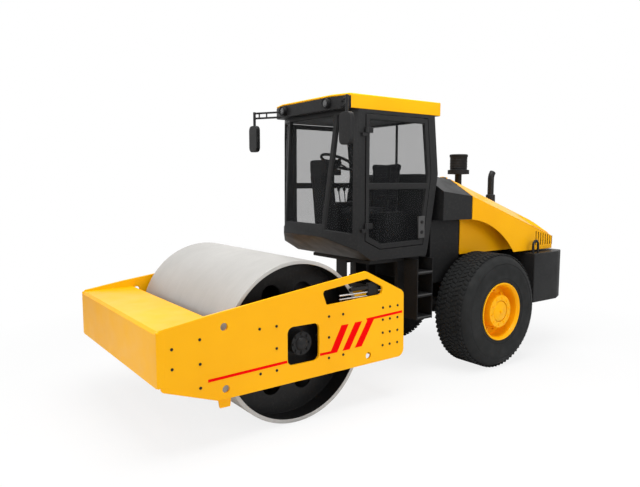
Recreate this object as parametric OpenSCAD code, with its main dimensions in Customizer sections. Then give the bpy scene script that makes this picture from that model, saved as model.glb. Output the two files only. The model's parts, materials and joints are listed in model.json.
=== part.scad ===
// Single-drum road roller: a smooth steel drum in a box frame in front, a cab and
// engine on two driven wheels behind, joined by a steered and oscillating centre joint.
// +X is forward, +Y is the machine's left and +Z is up. The origin lies on the ground
// under the middle of the overall length.

/* [Overall] */
// Distance from the steering pivot back to the rear axle
rear_length = 1470; // [1440:5:1560]
// Distance from the rear axle to the back of the counterweight
rear_overhang = 1700; // [1680:10:1800]
// Distance from the drum's front to the front of the bumper
bumper_depth = 650; // [600:10:720]
// Gap between the drum and the rear beam
drum_room = 220; // [200:5:260]
// Distance from the rear beam's back to the steering pivot
pivot_reach = 230; // [220:5:270]

/* [Drum] */
// Outer diameter of the drum
drum_d = 1600; // [1500:10:1640]
// Width of the drum's shell
drum_w = 2090; // [1900:10:2110]
// Wall of the drum's shell
shell_t = 38; // [20:1:50]
// Depth of each end disc below the shell's edge
disc_recess = 195; // [170:5:300]
// Thickness of each end disc
disc_t = 30; // [15:1:45]
// Number of round holes in an end disc
disc_holes = 8; // [6:1:10]
// Diameter of those holes
disc_hole_d = 210; // [120:5:240]
// Diameter of the drum's journals
journal_d = 160; // [120:5:200]

/* [Front frame] */
// Gap between the drum's edge and a side plate
plate_gap = 70; // [60:5:90]
// Thickness of a side plate
plate_t = 30; // [20:1:40]
// Height of the plate's front top corner
plate_front_top = 1140; // [1100:5:1200]
// Height of the plate's peak
plate_peak = 1437; // [1400:5:1450]
// Height of the plate's lower edge
plate_bottom = 450; // [420:5:520]
// Diameter of the tie-down holes
tie_hole_d = 70; // [50:1:90]
// Thickness of the bumper's plates
bumper_t = 20; // [12:1:30]
// Height of the bumper's lower edge
bumper_bottom = 650; // [620:5:760]
// Length of the rear beam's box section
beam_l = 300; // [240:5:310]
// Height of the rear beam's box section
beam_h = 600; // [520:5:620]
// Gap between a scraper's blade and the drum
scraper_gap = 8; // [5:1:20]

/* [Wheels] */
// Outer diameter of a tyre
tyre_d = 1450; // [1400:10:1500]
// Width of a tyre
tyre_w = 530; // [480:5:540]
// Distance between the outer faces of the tyres
track_outer = 2300; // [2280:10:2360]
// Diameter of the rim's flange
rim_d = 730; // [680:5:780]
// Depth of the rim's dish
dish_depth = 190; // [120:5:220]
// Diameter of the axle's stub in the wheel
stub_d = 140; // [110:5:170]
// Diameter of the axle's tube
axle_d = 250; // [200:5:260]

/* [Rear frame] */
// Distance between the outer faces of the frame's rails
rail_span = 860; // [800:10:900]
// Thickness of a rail
rail_t = 50; // [30:1:60]
// Height of a rail
rail_h = 230; // [180:5:250]
// Thickness of the pivot's ears
ear_t = 36; // [25:1:50]
// Diameter of the pivot's pins
pin_d = 90; // [60:5:110]
// Height of the centre joint above the ground
joint_z = 800; // [780:5:820]
// Width of the counterweight
counter_w = 1900; // [1800:10:1960]
// Height of the counterweight's lower edge
counter_bottom = 690; // [640:5:740]
// Height of the counterweight's top
counter_top = 1375; // [1350:5:1380]

/* [Cab] */
// Distance of the windscreen's foot ahead of the steering pivot
cab_front = 815; // [795:5:835]
// Width of the cab over its doors
cab_w = 1480; // [1440:10:1500]
// Thickness of the cab's posts and doors
cab_wall = 42; // [34:1:50]
// Height of the cab's underside
cab_bottom = 1465; // [1455:5:1480]
// Height of the windscreen's lower edge
screen_bottom = 1870; // [1850:5:1900]
// Height of the roof's top
roof_top = 3290; // [3270:5:3310]
// Height of the roof's yellow skirt
roof_skirt = 140; // [120:5:150]
// Thickness of the panes
glass_t = 6; // [4:1:8]

/* [Hood] */
// Width over the hood's sides
hood_w = 1600; // [1560:10:1620]
// Width of the hood's flat top
crest_w = 840; // [760:10:900]
// Height of the crest where the hood starts
crest_front = 2385; // [2370:5:2400]
// Height of the crest at its rear end
crest_rear = 1790; // [1760:5:1820]
// Drop from the crest to the ridge at the side
ridge_drop = 215; // [180:5:240]
// Thickness of the sheet
sheet_t = 12; // [8:1:20]

/* [Fits] */
// Radial clearance of a turning fit
run_gap = 0.05; // [0.02:0.01:0.1]
// Gap between a pane and its frame
seal_gap = 0.4; // [0.2:0.1:0.8]
// Gap round a door, a lid or a turning piece
move_gap = 8; // [6:1:12]
// Gap between a seated piece and its seat
seat_gap = 0.3; // [0.1:0.1:0.5]

/* [Hidden] */
$fn = 72;
YELLOW = [1.0, 0.72, 0.06];
DARK = [0.22, 0.22, 0.23];
BLACK = [0.07, 0.07, 0.08];
STEEL = [0.80, 0.79, 0.77];
GLASS = [0.55, 0.60, 0.62, 0.45];
OVERLAP = 1;
BIG = 4000;

drum_r = drum_d / 2;
front_overhang = drum_r + bumper_depth;
plate_rear = drum_r + drum_room + beam_l;
pivot_back = plate_rear + pivot_reach;
length = front_overhang + pivot_back + rear_length + rear_overhang;
drum_x = length / 2 - front_overhang;
pivot_x = drum_x - pivot_back;
axle_x = pivot_x - rear_length;
rear_x = axle_x - rear_overhang;
drum_z = drum_r;
axle_z = tyre_d / 2;
plate_in = drum_w / 2 + plate_gap;
cab_x = pivot_x + cab_front;
cab_back = 1508;
cab_rear = cab_x - cab_back;
cowl_gap = 42;

// Points of an outline whose corners [x, y, radius] are rounded by arcs
function unit(v) = v / norm(v);
function corner(p, q, s, r, n = 5) =
    let (a = unit(p - q), b = unit(s - q), half = acos(a * b) / 2,
         c = q + unit(a + b) * r / sin(half), start = q + a * r / tan(half) - c,
         turn = (a.x * b.y - a.y * b.x > 0 ? -1 : 1) * (180 - 2 * half))
    [for (i = [0 : n]) let (t = turn * i / n)
        c + [start.x * cos(t) - start.y * sin(t), start.x * sin(t) + start.y * cos(t)]];
function rounded(pts) =
    let (n = len(pts))
    [for (i = [0 : n - 1])
        let (p = pts[(i + n - 1) % n], q = pts[i], s = pts[(i + 1) % n])
        each (q[2] > 0 ? corner([p.x, p.y], [q.x, q.y], [s.x, s.y], q[2]) : [[q.x, q.y]])];

// An outline in X and Z, made thick along Y between two places
module upright(pts, y0, y1) {
    translate([0, y1, 0]) rotate([90, 0, 0]) linear_extrude(y1 - y0) polygon(pts);
}
// An outline in Y and Z, made thick along X between two places
module facing(pts, x0, x1) {
    translate([x0, 0, 0]) rotate([90, 0, 90]) linear_extrude(x1 - x0) polygon(pts);
}
// A box between two corners
module block(low, high) {
    translate(low) cube(high - low);
}
// A round bar along Y, and one along X
module bar_y(x, z, d, y0, y1) {
    translate([x, y1, z]) rotate([90, 0, 0]) cylinder(d = d, h = y1 - y0);
}
module bar_x(y, z, d, x0, x1) {
    translate([x0, y, z]) rotate([0, 90, 0]) cylinder(d = d, h = x1 - x0);
}
module bar_z(x, y, d, z0, z1) {
    translate([x, y, z0]) cylinder(d = d, h = z1 - z0);
}
// A straight tube between two points
module tube(p, q, d) {
    v = q - p;
    translate(p) rotate([0, acos(v.z / norm(v)), atan2(v.y, v.x)]) cylinder(d = d, h = norm(v), $fn = 24);
}
module both_sides() {
    children();
    mirror([0, 1, 0]) children();
}

// Drum: shell, recessed end discs with round holes, axle tube and journals
disc_y = drum_w / 2 - disc_recess;
journal_end = drum_w / 2 - 45;
axle_tube_d = 320;
hole_ring = 480;
module drum() color(STEEL) translate([drum_x, 0, drum_z]) {
    difference() {
        bar_y(0, 0, drum_d, -drum_w / 2, drum_w / 2);
        bar_y(0, 0, drum_d - 2 * shell_t, -drum_w / 2 - OVERLAP, drum_w / 2 + OVERLAP);
    }
    both_sides() difference() {
        bar_y(0, 0, drum_d - 2 * shell_t + OVERLAP, disc_y - disc_t, disc_y);
        for (i = [0 : disc_holes - 1]) rotate([0, 360 * (i + 0.5) / disc_holes, 0])
            bar_y(hole_ring, 0, disc_hole_d, disc_y - disc_t - OVERLAP, disc_y + OVERLAP);
    }
    bar_y(0, 0, axle_tube_d, -disc_y, disc_y);
    bar_y(0, 0, journal_d, -journal_end, journal_end);
}

// Side plate: sloping top edge, hub window, upper slot, tie-down holes and scraper bracket
plate_front = front_overhang - 15;
hub_window = [365, 372];
peak_x = plate_rear - 544;
plate_outline = rounded([[plate_front, plate_front_top, 30], [drum_r + 210, plate_front_top + 66, 0],
    [-peak_x, plate_peak, 60], [-plate_rear + 10, plate_front_top + 35, 70],
    [-plate_rear, plate_bottom + 10, 80], [drum_r + 106, plate_bottom - 10, 40],
    [plate_front - 20, plate_bottom + 170, 30]]);
slot_outline = rounded([[556 - peak_x, plate_peak - 148, 30], [-peak_x - 20, plate_peak - 78, 40],
    [-peak_x - 233, plate_peak - 185, 30], [-peak_x - 213, plate_peak - 264, 30],
    [144 - peak_x, plate_peak - 278, 0], [502 - peak_x, plate_peak - 293, 30]]);
tie_holes = [[drum_r + 38, plate_front_top - 50], [drum_r + 28, plate_bottom + 80],
    [-drum_r - 17, plate_bottom + 95]];
bracket_t = 25;
bracket_z = [plate_bottom - 95, plate_bottom + 35];
bracket_outline = [[drum_r - 25, bracket_z[0]], [drum_r + 75, bracket_z[0]], [drum_r + 95, bracket_z[1]],
    [drum_r - 40, bracket_z[1]]];
module side_plate() translate([drum_x, 0, 0]) difference() {
    union() {
        upright(plate_outline, plate_in, plate_in + plate_t);
        upright(bracket_outline, plate_in - bracket_t, plate_in + OVERLAP);
    }
    upright(rounded([for (c = [[-1, -1], [1, -1], [1, 1], [-1, 1]])
        [c.x * hub_window.x / 2, drum_z + c.y * hub_window.y / 2, 60]]),
        plate_in - OVERLAP, plate_in + plate_t + OVERLAP);
    upright(slot_outline, plate_in - OVERLAP, plate_in + plate_t + OVERLAP);
    for (h = tie_holes) bar_y(h.x, h.y, tie_hole_d, plate_in - OVERLAP, plate_in + plate_t + OVERLAP);
}
module side_plate_left() color(YELLOW) side_plate();
module side_plate_right() color(YELLOW) mirror([0, 1, 0]) side_plate();

// Bumper: top plate, front plate and lower shelf folded as one channel, with ribs
bumper_back = drum_r + 80;
shelf_l = 330;
module bumper() color(YELLOW) translate([drum_x, 0, 0]) {
    top = plate_front_top - 10;
    channel = [[bumper_back, top], [front_overhang - 25, top], [front_overhang, top - 25],
        [front_overhang, bumper_bottom], [front_overhang - shelf_l, bumper_bottom],
        [front_overhang - shelf_l, bumper_bottom + bumper_t],
        [front_overhang - bumper_t, bumper_bottom + bumper_t],
        [front_overhang - bumper_t, top - bumper_t], [bumper_back, top - bumper_t]];
    upright(channel, -plate_in, plate_in);
    rib = [[bumper_back + 40, top - bumper_t + OVERLAP],
        [front_overhang - bumper_t + OVERLAP, top - bumper_t + OVERLAP],
        [front_overhang - bumper_t + OVERLAP, bumper_bottom + bumper_t - OVERLAP],
        [front_overhang - shelf_l, bumper_bottom + bumper_t - OVERLAP]];
    for (y = [-plate_in / 2, 0, plate_in / 2]) upright(rib, y - bumper_t / 2, y + bumper_t / 2);
}

// Rear beam: box section between the plates, with the sleeve of the oscillation bearing
trunnion_d = 200;
sleeve_d = 300;
sleeve_back = 80;
sleeve_l = 330;
beam_wall = 20;
beam_z = [joint_z - beam_h / 2 - 30, joint_z + beam_h / 2 - 30];
module rear_beam() color(YELLOW) translate([drum_x - plate_rear, 0, 0]) difference() {
    union() {
        difference() {
            block([0, -plate_in, beam_z[0]], [beam_l, plate_in, beam_z[1]]);
            block([beam_wall, -plate_in + beam_wall, beam_z[0] + beam_wall],
                [beam_l - beam_wall, plate_in - beam_wall, beam_z[1] - beam_wall]);
        }
        bar_x(0, joint_z, sleeve_d, -sleeve_back, sleeve_l - sleeve_back);
    }
    bar_x(0, joint_z, trunnion_d + 2 * run_gap, -sleeve_back - OVERLAP, sleeve_l - sleeve_back - 30);
}

// Drum carriers: flange and bearing sleeve inside each plate, held by rubber buffers
flange_t = 25;
flange_y = disc_y + 115;
carrier_hub_d = 280;
buffer_d = 110;
motor_d = 230;
buffer_places = [for (x = [-300, 300], z = [-210, 0, 210]) [x, z]];
module carrier() translate([drum_x, 0, drum_z]) difference() {
    union() {
        upright(rounded([for (c = [[-1, -1], [1, -1], [1, 1], [-1, 1]]) [c.x * 380, c.y * 290, 90]]),
            flange_y, flange_y + flange_t);
        bar_y(0, 0, carrier_hub_d, disc_y + move_gap, flange_y + flange_t);
        bar_y(0, 0, motor_d, flange_y + flange_t - OVERLAP, plate_in - move_gap);
    }
    bar_y(0, 0, journal_d + 2 * run_gap, disc_y - OVERLAP, journal_end + move_gap);
}
module carrier_left() color(BLACK) carrier();
module carrier_right() color(BLACK) mirror([0, 1, 0]) carrier();
module rubber_buffers() color(BLACK) translate([drum_x, 0, drum_z]) both_sides()
    for (p = buffer_places) bar_y(p.x, p.y, buffer_d, flange_y + flange_t, plate_in);

// Scrapers: a blade in front of the drum and one behind, each on a bar between the plates
scraper_bar = 60;
scraper_reach = 130;
module scraper(drop) rotate([0, drop, 0]) {
    block([drum_d / 2 + scraper_gap, -drum_w / 2, -8], [drum_d / 2 + scraper_reach, drum_w / 2, 8]);
    block([drum_d / 2 + scraper_reach - scraper_bar, -plate_in, -scraper_bar / 2],
        [drum_d / 2 + scraper_reach, plate_in, scraper_bar / 2]);
}
module scrapers() color(DARK) translate([drum_x, 0, drum_z]) {
    scraper(8);
    mirror([1, 0, 0]) scraper(4);
}

// Centre joint: pivot barrel on the steering pins, trunnion forward, lugs for the cylinders
yoke_d = 230;
yoke_h = 330;
lug_z = joint_z - 45;
lug_t = 40;
lug_forward = 100;
lug_side = 260;
lug_d = 120;
web_cut = 25;
trunnion_front = drum_x - plate_rear + sleeve_l - sleeve_back - 40;
module yoke() color(DARK) difference() {
    union() {
        bar_z(pivot_x, 0, yoke_d, joint_z - yoke_h / 2, joint_z + yoke_h / 2);
        block([pivot_x, -yoke_d / 2, joint_z - 115],
            [drum_x - plate_rear - sleeve_back - move_gap, yoke_d / 2, joint_z + 115]);
        bar_x(0, joint_z, trunnion_d, pivot_x + 60, trunnion_front);
        translate([pivot_x + lug_forward, 0, lug_z - lug_t]) both_sides() {
            translate([-lug_d / 2, 0, 0]) cube([lug_d - web_cut, lug_side, lug_t]);
            translate([0, lug_side, 0]) cylinder(d = lug_d, h = lug_t);
        }
    }
    bar_z(pivot_x, 0, pin_d + 2 * run_gap, 0, BIG);
}

// Steering cylinders: barrel on a pin of the rear frame, rod with an eye over the yoke's lug
cyl_back = 900;
cyl_d = 90;
rod_d = 50;
eye_d = 110;
cyl_pin_d = 50;
neck_d = 54;
cyl_barrel = [70, 560];
rod_start = 300;
eye_t = 60;
cyl_z = lug_z + seat_gap + eye_t / 2;
cyl_x = pivot_x + lug_forward - cyl_back;
module barrel() translate([cyl_x, lug_side, 0]) difference() {
    union() {
        bar_z(0, 0, eye_d, cyl_z - eye_t / 2, cyl_z + eye_t / 2);
        bar_x(0, cyl_z, neck_d, eye_d / 2 - 15, cyl_barrel[0] + OVERLAP);
        bar_x(0, cyl_z, cyl_d, cyl_barrel[0], cyl_barrel[1]);
        bar_x(0, cyl_z, cyl_d + 16, cyl_barrel[1] - 50, cyl_barrel[1]);
    }
    bar_z(0, 0, cyl_pin_d + 2 * run_gap, 0, BIG);
    bar_x(0, cyl_z, rod_d + 2 * run_gap, cyl_barrel[0] + 50, cyl_barrel[1] + OVERLAP);
}
module rod() translate([cyl_x, lug_side, 0]) {
    bar_x(0, cyl_z, rod_d, rod_start, cyl_back - eye_d / 2 + 10);
    bar_z(cyl_back, 0, eye_d, cyl_z - eye_t / 2, cyl_z + eye_t / 2);
    bar_z(cyl_back, 0, cyl_pin_d, cyl_z, cyl_z + eye_t / 2 + 15);
}
module barrel_left() color(BLACK) barrel();
module barrel_right() color(BLACK) mirror([0, 1, 0]) barrel();
module rod_left() color(STEEL) rod();
module rod_right() color(STEEL) mirror([0, 1, 0]) rod();

// Rear frame: rails, pivot ears, cross box with cylinder cut-outs, deck under the cab
rail_bottom = axle_z + axle_d / 2;
rail_y = rail_span / 2;
ear_z = yoke_h / 2 + 1;
box_x = [pivot_x - 400, pivot_x - 340];
deck_z = [cab_bottom - 70, cab_bottom - 30];
deck_half = 560;
deck_x = [cab_rear + 3, pivot_x + 230];
rail_end = rear_x + 120;
cut_y = [lug_side - 95, lug_side + 95];
module ear(z0, z1) {
    bar_z(pivot_x, 0, 260, z0, z1);
    block([box_x[0], -130, z0], [pivot_x, 130, z1]);
}
module rear_frame() color(DARK) {
    both_sides() {
        block([rail_end, rail_y - rail_t, rail_bottom], [box_x[1], rail_y, rail_bottom + rail_h]);
        block([box_x[0] - 120, rail_y - rail_t, rail_bottom], [box_x[1], rail_y, deck_z[0] + OVERLAP]);
        block([deck_x[0], rail_y - rail_t, rail_bottom], [deck_x[0] + 120, rail_y, deck_z[0] + OVERLAP]);
        for (x = [deck_x[0] + 60, deck_x[1] - 90]) bar_z(x, 430, 90, deck_z[1] - OVERLAP, cab_bottom);
    }
    difference() {
        block([box_x[0], -rail_y, joint_z - ear_z - ear_t], [box_x[1], rail_y, joint_z + ear_z + ear_t]);
        both_sides() block([box_x[0] - OVERLAP, cut_y[0], cyl_z - 85],
            [box_x[1] + OVERLAP, cut_y[1], cyl_z + 85]);
    }
    difference() {
        union() {
            ear(joint_z + ear_z, joint_z + ear_z + ear_t);
            ear(joint_z - ear_z - ear_t, joint_z - ear_z);
        }
        bar_z(pivot_x, 0, pin_d, 0, BIG);
    }
    block([deck_x[0], -deck_half, deck_z[0]], [deck_x[1], deck_half, deck_z[1]]);
    shelf_top = cyl_z - eye_t / 2 - seat_gap;
    block([cyl_x - 70, -rail_y, shelf_top - 30], [cyl_x + 50, rail_y, shelf_top]);
    block([cyl_x - 90, -rail_y, shelf_top - 30], [cyl_x - 65, rail_y, rail_bottom + 60]);
    both_sides() bar_z(cyl_x, lug_side, cyl_pin_d, shelf_top - OVERLAP, cyl_z + eye_t / 2 + 12);
    block([rail_end, -rail_y, rail_bottom], [rail_end + 60, rail_y, rail_bottom + rail_h]);
}
module pivot_pins() color(STEEL) {
    bar_z(pivot_x, 0, pin_d, joint_z - ear_z - ear_t - 10, joint_z + ear_z + ear_t);
    bar_z(pivot_x, 0, pin_d + 50, joint_z + ear_z + ear_t, joint_z + ear_z + ear_t + 20);
}

// Rear axle: tube with a centre casing, saddles under the rails and stubs in the wheels
wheel_in = track_outer / 2 - tyre_w;
hub_y = track_outer / 2 - dish_depth;
stub_end = hub_y + 20;
module rear_axle() color(BLACK) translate([axle_x, 0, axle_z]) {
    bar_y(0, 0, axle_d, -wheel_in + 30, wheel_in - 30);
    bar_y(0, 0, stub_d, -stub_end, stub_end);
    rotate([90, 0, 0]) intersection() {
        sphere(d = 400);
        cylinder(d = 400, h = 300, center = true);
    }
    both_sides() block([-110, rail_y - rail_t - 15, 0], [110, rail_y + 15, axle_d / 2]);
}

// Wheels: tyre section turned about the axle, deep-dished rim with a raised hub
rim_r = rim_d / 2;
bead_r = rim_r - 22;
tyre_profile = rounded([[bead_r, 30, 0], [rim_r + 40, 8, 30], [axle_z - 120, 0, 60],
    [axle_z - 30, 26, 30], [axle_z, 80, 25], [axle_z, tyre_w - 80, 25], [axle_z - 30, tyre_w - 26, 30],
    [axle_z - 120, tyre_w, 60], [rim_r + 40, tyre_w - 8, 30], [bead_r, tyre_w - 30, 0]]);
module turned_wheel(pts) translate([axle_x, wheel_in, axle_z]) rotate([-90, 0, 0])
    rotate_extrude($fn = 96) polygon(pts);
module tyre() turned_wheel(tyre_profile);
module tyre_left() color(DARK) tyre();
module tyre_right() color(DARK) mirror([0, 1, 0]) tyre();
rim_t = 14;
dish_y = tyre_w - dish_depth;
hub_r = 205;
hub_h = 160;
hub_recess = 45;
bore_r = stub_d / 2 + run_gap;
rim_profile = [[bore_r, dish_y - 40], [rim_r - 60, dish_y - 40], [bead_r - rim_t, dish_y - 110],
    [bead_r - rim_t, 30], [bead_r, 30], [bead_r, tyre_w - 30], [rim_r, tyre_w - 18], [rim_r, tyre_w - 4],
    [rim_r - rim_t, tyre_w - 4], [bead_r - rim_t, tyre_w - 40], [bead_r - rim_t - 6, dish_y],
    [hub_r + 15, dish_y], [hub_r, dish_y + hub_h], [bore_r, dish_y + hub_h]];
module rim() difference() {
    turned_wheel(rim_profile);
    translate([axle_x, wheel_in + dish_y + hub_h - hub_recess, axle_z]) rotate([-90, 0, 0])
        cylinder(r = hub_r - 70, h = 60);
}
module rim_left() color(YELLOW) rim();
module rim_right() color(YELLOW) mirror([0, 1, 0]) rim();

// Engine as one block on the rails, tanks behind the cab
deck_top = rail_bottom + rail_h;
engine = [1000, 620, 640];
engine_x = axle_x - 1230;
engine_foot = [120, 70];
engine_z = deck_top + engine_foot.y;
module engine_block() color(BLACK) {
    block([engine_x, -engine.y / 2, engine_z], [engine_x + engine.x, engine.y / 2, engine_z + engine.z]);
    for (x = [engine_x + 80, engine_x + engine.x - 80 - engine_foot.x]) both_sides()
        block([x, 200, deck_top], [x + engine_foot.x, rail_y, engine_z]);
}
tank_half = 595;
hood_joint = axle_x + 205;
tank_x = [hood_joint, cab_rear - cowl_gap];
tank_top = 1880;
module tanks() color(DARK) both_sides() {
    upright(rounded([[tank_x[0], deck_top, 0], [tank_x[1], deck_top, 0], [tank_x[1], tank_top, 40],
        [tank_x[0], tank_top, 40]]), 8, tank_half);
}

// Counterweight: cast block, tapered in at its rear corners, rounded in front behind the tyres
counter_front = axle_x - 940;
counter_half = counter_w / 2;
loop_x = axle_x - 1040;
loop_d = 34;
loop_r = 55;
loop_h = 110;
module counterweight() color(DARK) difference() {
    translate([0, 0, counter_bottom]) linear_extrude(counter_top - counter_bottom)
        polygon([for (s = [1, -1]) each [for (p = (s > 0 ?
            [[counter_front, counter_half], [rear_x + 210, counter_half], [rear_x, counter_half - 90]] :
            [[rear_x, counter_half - 90], [rear_x + 210, counter_half], [counter_front, counter_half]]))
            [p.x, s * p.y]]]);
    bar_y(axle_x, axle_z, tyre_d + 320, -counter_half - OVERLAP, counter_half + OVERLAP);
    block([rail_end - seat_gap, -rail_y - seat_gap, rail_bottom - seat_gap], [BIG, rail_y + seat_gap, BIG]);
}
module lifting_loops() color(BLACK) both_sides() translate([loop_x, counter_half - 60, counter_top]) {
    for (x = [-loop_r, loop_r]) bar_z(x, 0, loop_d, 0, loop_h);
    translate([0, 0, loop_h]) rotate([90, 0, 0]) rotate_extrude(angle = 180)
        translate([loop_r, 0]) circle(d = loop_d);
}

// Steps: two side strings and three treads under each door, hung from the deck
step_x = [deck_x[0] + 110, deck_x[0] + 360];
step_y = 790;
string_t = 12;
tread_t = 30;
tread_z = [735, 1005, 1280];
module steps() color(BLACK) both_sides() {
    for (x = step_x)
        block([x - string_t / 2, deck_half, tread_z[0] - 35], [x + string_t / 2, step_y, deck_z[1]]);
    for (z = tread_z) block([step_x[0], deck_half, z - tread_t], [step_x[1], step_y, z]);
}

// Cab volume: narrow leaning windscreen, angled side panes, sloping chin and kinked back
cab_half = cab_w / 2;
eave_z = roof_top - roof_skirt - 20;
waist_z = eave_z - 692;
screen_lean = 165;
screen_half = [365, 470];
corner_back = [255, 265];
post_half = 22;
function screen_edge(z) = screen_half[0]
    + (screen_half[1] - screen_half[0]) * (z - cab_bottom) / (eave_z - cab_bottom);
function cab_plan(k, t) =
    let (f = (k == 0 ? 0 : -screen_lean) - t, h = screen_half[k] - t * 0.55, c = -corner_back[k] - t * 0.35)
    [[f, h], [c, cab_half - t], [-cab_back - 60, cab_half - t], [-cab_back - 60, -cab_half + t],
     [c, -cab_half + t], [f, -h]];
chin_back = 465;
screen_foot = screen_bottom - 125;
cab_profile = [[60, eave_z], [60, screen_foot + 40], [-chin_back, cab_bottom],
    [-cab_back + 180, cab_bottom],
    [-cab_back + 155, cab_bottom + 85], [-cab_back, waist_z], [-cab_back + 72, eave_z]];
module cab_solid(t) translate([cab_x, 0, 0]) intersection() {
    hull() for (k = [0, 1]) translate([0, 0, k == 0 ? cab_bottom : eave_z - 1])
        linear_extrude(1) polygon(cab_plan(k, t));
    upright([for (p = cab_profile) [p.x < -cab_back / 2 ? p.x + t : p.x,
        p.y == cab_bottom ? p.y + t : p.y == eave_z ? p.y - t : p.y + (p.x == 60 ? t : 0)]], -BIG, BIG);
}
module cab_wall_shell(outer, inner) difference() {
    cab_solid(outer);
    cab_solid(inner);
}
pane_at = [cab_wall / 2 - glass_t / 2, cab_wall / 2 + glass_t / 2];
pane_top = eave_z - 50;
foot_half = screen_edge(screen_bottom);
head_half = screen_edge(pane_top);
function screen_view(g) = let (foot = foot_half - post_half - g, head = head_half - post_half - g)
    [[-foot, screen_bottom + g], [foot, screen_bottom + g], [head, pane_top - g], [-head, pane_top - g]];
function side_view(g) = [[foot_half + post_half + g, screen_bottom - 55 + g],
    [cab_half - 52 - g, screen_bottom - 95 + g], [cab_half - 52 - g, pane_top - g],
    [head_half + post_half + g, pane_top - g]];
rear_half = 600;
function rear_view(g) = [[-rear_half + g, waist_z + 2 + g], [rear_half - g, waist_z + 2 + g],
    [rear_half - g, eave_z - 60 - g], [-rear_half + g, eave_z - 60 - g]];
door_front = -362;
door_rear = -cab_back + 116;
function door_view(g) = [[door_front - g, eave_z - 40 - g], [door_rear + 67 + g, eave_z - 40 - g],
    [door_rear + g, waist_z], [door_rear + 120 + g, cab_bottom + 135 + g],
    [door_front - 223 - g * 0.4, cab_bottom + 120 + g], [door_front - g, cab_bottom + 225 + g * 0.8]];
module through_front(pts) facing(pts, cab_x + door_front, cab_x + BIG);
module through_back(pts) facing(pts, cab_x - BIG, cab_rear + cab_back / 3);
module through_left(pts) translate([cab_x, 0, 0]) upright(pts, cab_half / 2, BIG);

floor_t = 60;
module cab_floor() color(DARK) intersection() {
    cab_solid(cab_wall + seat_gap);
    block([-BIG, -BIG, cab_bottom], [BIG, BIG, cab_bottom + cab_wall + floor_t]);
}
module cab_frame() color(DARK) {
    difference() {
        cab_wall_shell(0, cab_wall);
        through_front(screen_view(0));
        both_sides() through_front(side_view(0));
        through_back(rear_view(0));
        both_sides() through_left(door_view(0));
    }
    both_sides() for (z = hinge_z) {
        bar_z(hinge_x, hinge_y, hinge_pin_d, z - 40, z + hinge_h);
        block([hinge_x + 2, cab_half - OVERLAP, z - 40], [hinge_x + 60, hinge_y + pin_r, z - 1]);
        block([hinge_x - pin_r, hinge_y - pin_r, z - 40], [hinge_x + 60, hinge_y + pin_r, z - 1]);
    }
}
module pane_shell() cab_wall_shell(pane_at[0], pane_at[1]);
module cab_panes() color(GLASS) intersection() {
    pane_shell();
    union() {
        through_front(screen_view(seal_gap));
        both_sides() through_front(side_view(seal_gap));
        through_back(rear_view(seal_gap));
    }
}

// Doors: one frame with an upper and a lower pane, lock plate, hinged on the front pillar
stile = 52;
door_rail = [waist_z - 170, waist_z - 106];
function pane_view(g, part) = let (d = door_view(move_gap + stile + g))
    part == 0 ? [d[0], d[1], d[2], [d[2].x + 12, door_rail[1] + g], [d[5].x, door_rail[1] + g]] :
    [[d[5].x, door_rail[0] - g], [d[2].x + 24, door_rail[0] - g], d[3], d[4], d[5]];
module door() {
    difference() {
        intersection() {
            cab_wall_shell(0, cab_wall);
            through_left(door_view(move_gap));
        }
        for (part = [0, 1]) through_left(pane_view(0, part));
    }
    door_hardware();
}
module door_glass() for (part = [0, 1]) intersection() {
    pane_shell();
    through_left(pane_view(seal_gap, part));
}
hinge_d = 34;
hinge_pin_d = 18;
pin_r = hinge_pin_d / 2;
hinge_z = [cab_bottom + 365, eave_z - 250];
hinge_h = 60;
hinge_y = cab_half + hinge_d / 2 + 2;
hinge_x = cab_x + door_front;
handle_x = cab_x + door_rear + 160;
handle_z = cab_bottom + 350;
handle_plate = [50, 130];
button_d = 40;
button_z = 60;
module door_hardware() {
    for (z = hinge_z) difference() {
        union() {
            bar_z(hinge_x, hinge_y, hinge_d, z, z + hinge_h);
            block([hinge_x - 90, cab_half - OVERLAP, z],
                [hinge_x - move_gap - 4, hinge_y + 6, z + hinge_h]);
            block([hinge_x - 60, hinge_y - 6, z], [hinge_x, hinge_y + 6, z + hinge_h]);
        }
        bar_z(hinge_x, hinge_y, hinge_pin_d + 2 * run_gap, z - OVERLAP, z + hinge_h + OVERLAP);
    }
    translate([handle_x, cab_half, handle_z]) {
        block([-handle_plate.x, -cab_wall / 3, -handle_plate.y], [handle_plate.x, 14, handle_plate.y]);
        for (z = [-button_z, button_z]) bar_y(0, z, button_d, 0, 26);
    }
}
module door_left() color(DARK) door();
module door_right() color(DARK) mirror([0, 1, 0]) door();
module door_left_glass() color(GLASS) door_glass();
module door_right_glass() color(GLASS) mirror([0, 1, 0]) door_glass();

// Roof: yellow cap with cut corners and side skirts, dark header with two round lamps in front
roof_front = 75;
roof_rear = cab_back + 27;
roof_corner = -roof_front - 70;
roof_plan = [[-roof_front, 500], [roof_corner, cab_half], [-roof_rear, cab_half], [-roof_rear, -cab_half],
    [roof_corner, -cab_half], [-roof_front, -500]];
module roof_body(z0, z1) translate([cab_x, 0, z0]) linear_extrude(z1 - z0) polygon(roof_plan);
module header_space() translate([cab_x, 0, eave_z]) linear_extrude(roof_skirt - 5)
    polygon([[OVERLAP, BIG], [roof_corner, BIG], [roof_corner, -BIG], [OVERLAP, -BIG]]);
lamp_y = [-435, 435];
lamp_d = 104;
lamp_l = 70;
lamp_front = 45;
lamp_z = eave_z + roof_skirt / 2;
module lamp(d) for (y = lamp_y)
    bar_x(y, lamp_z, d, cab_x - roof_front + lamp_front - lamp_l, cab_x - roof_front + lamp_front);
roof_wall = 40;
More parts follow.
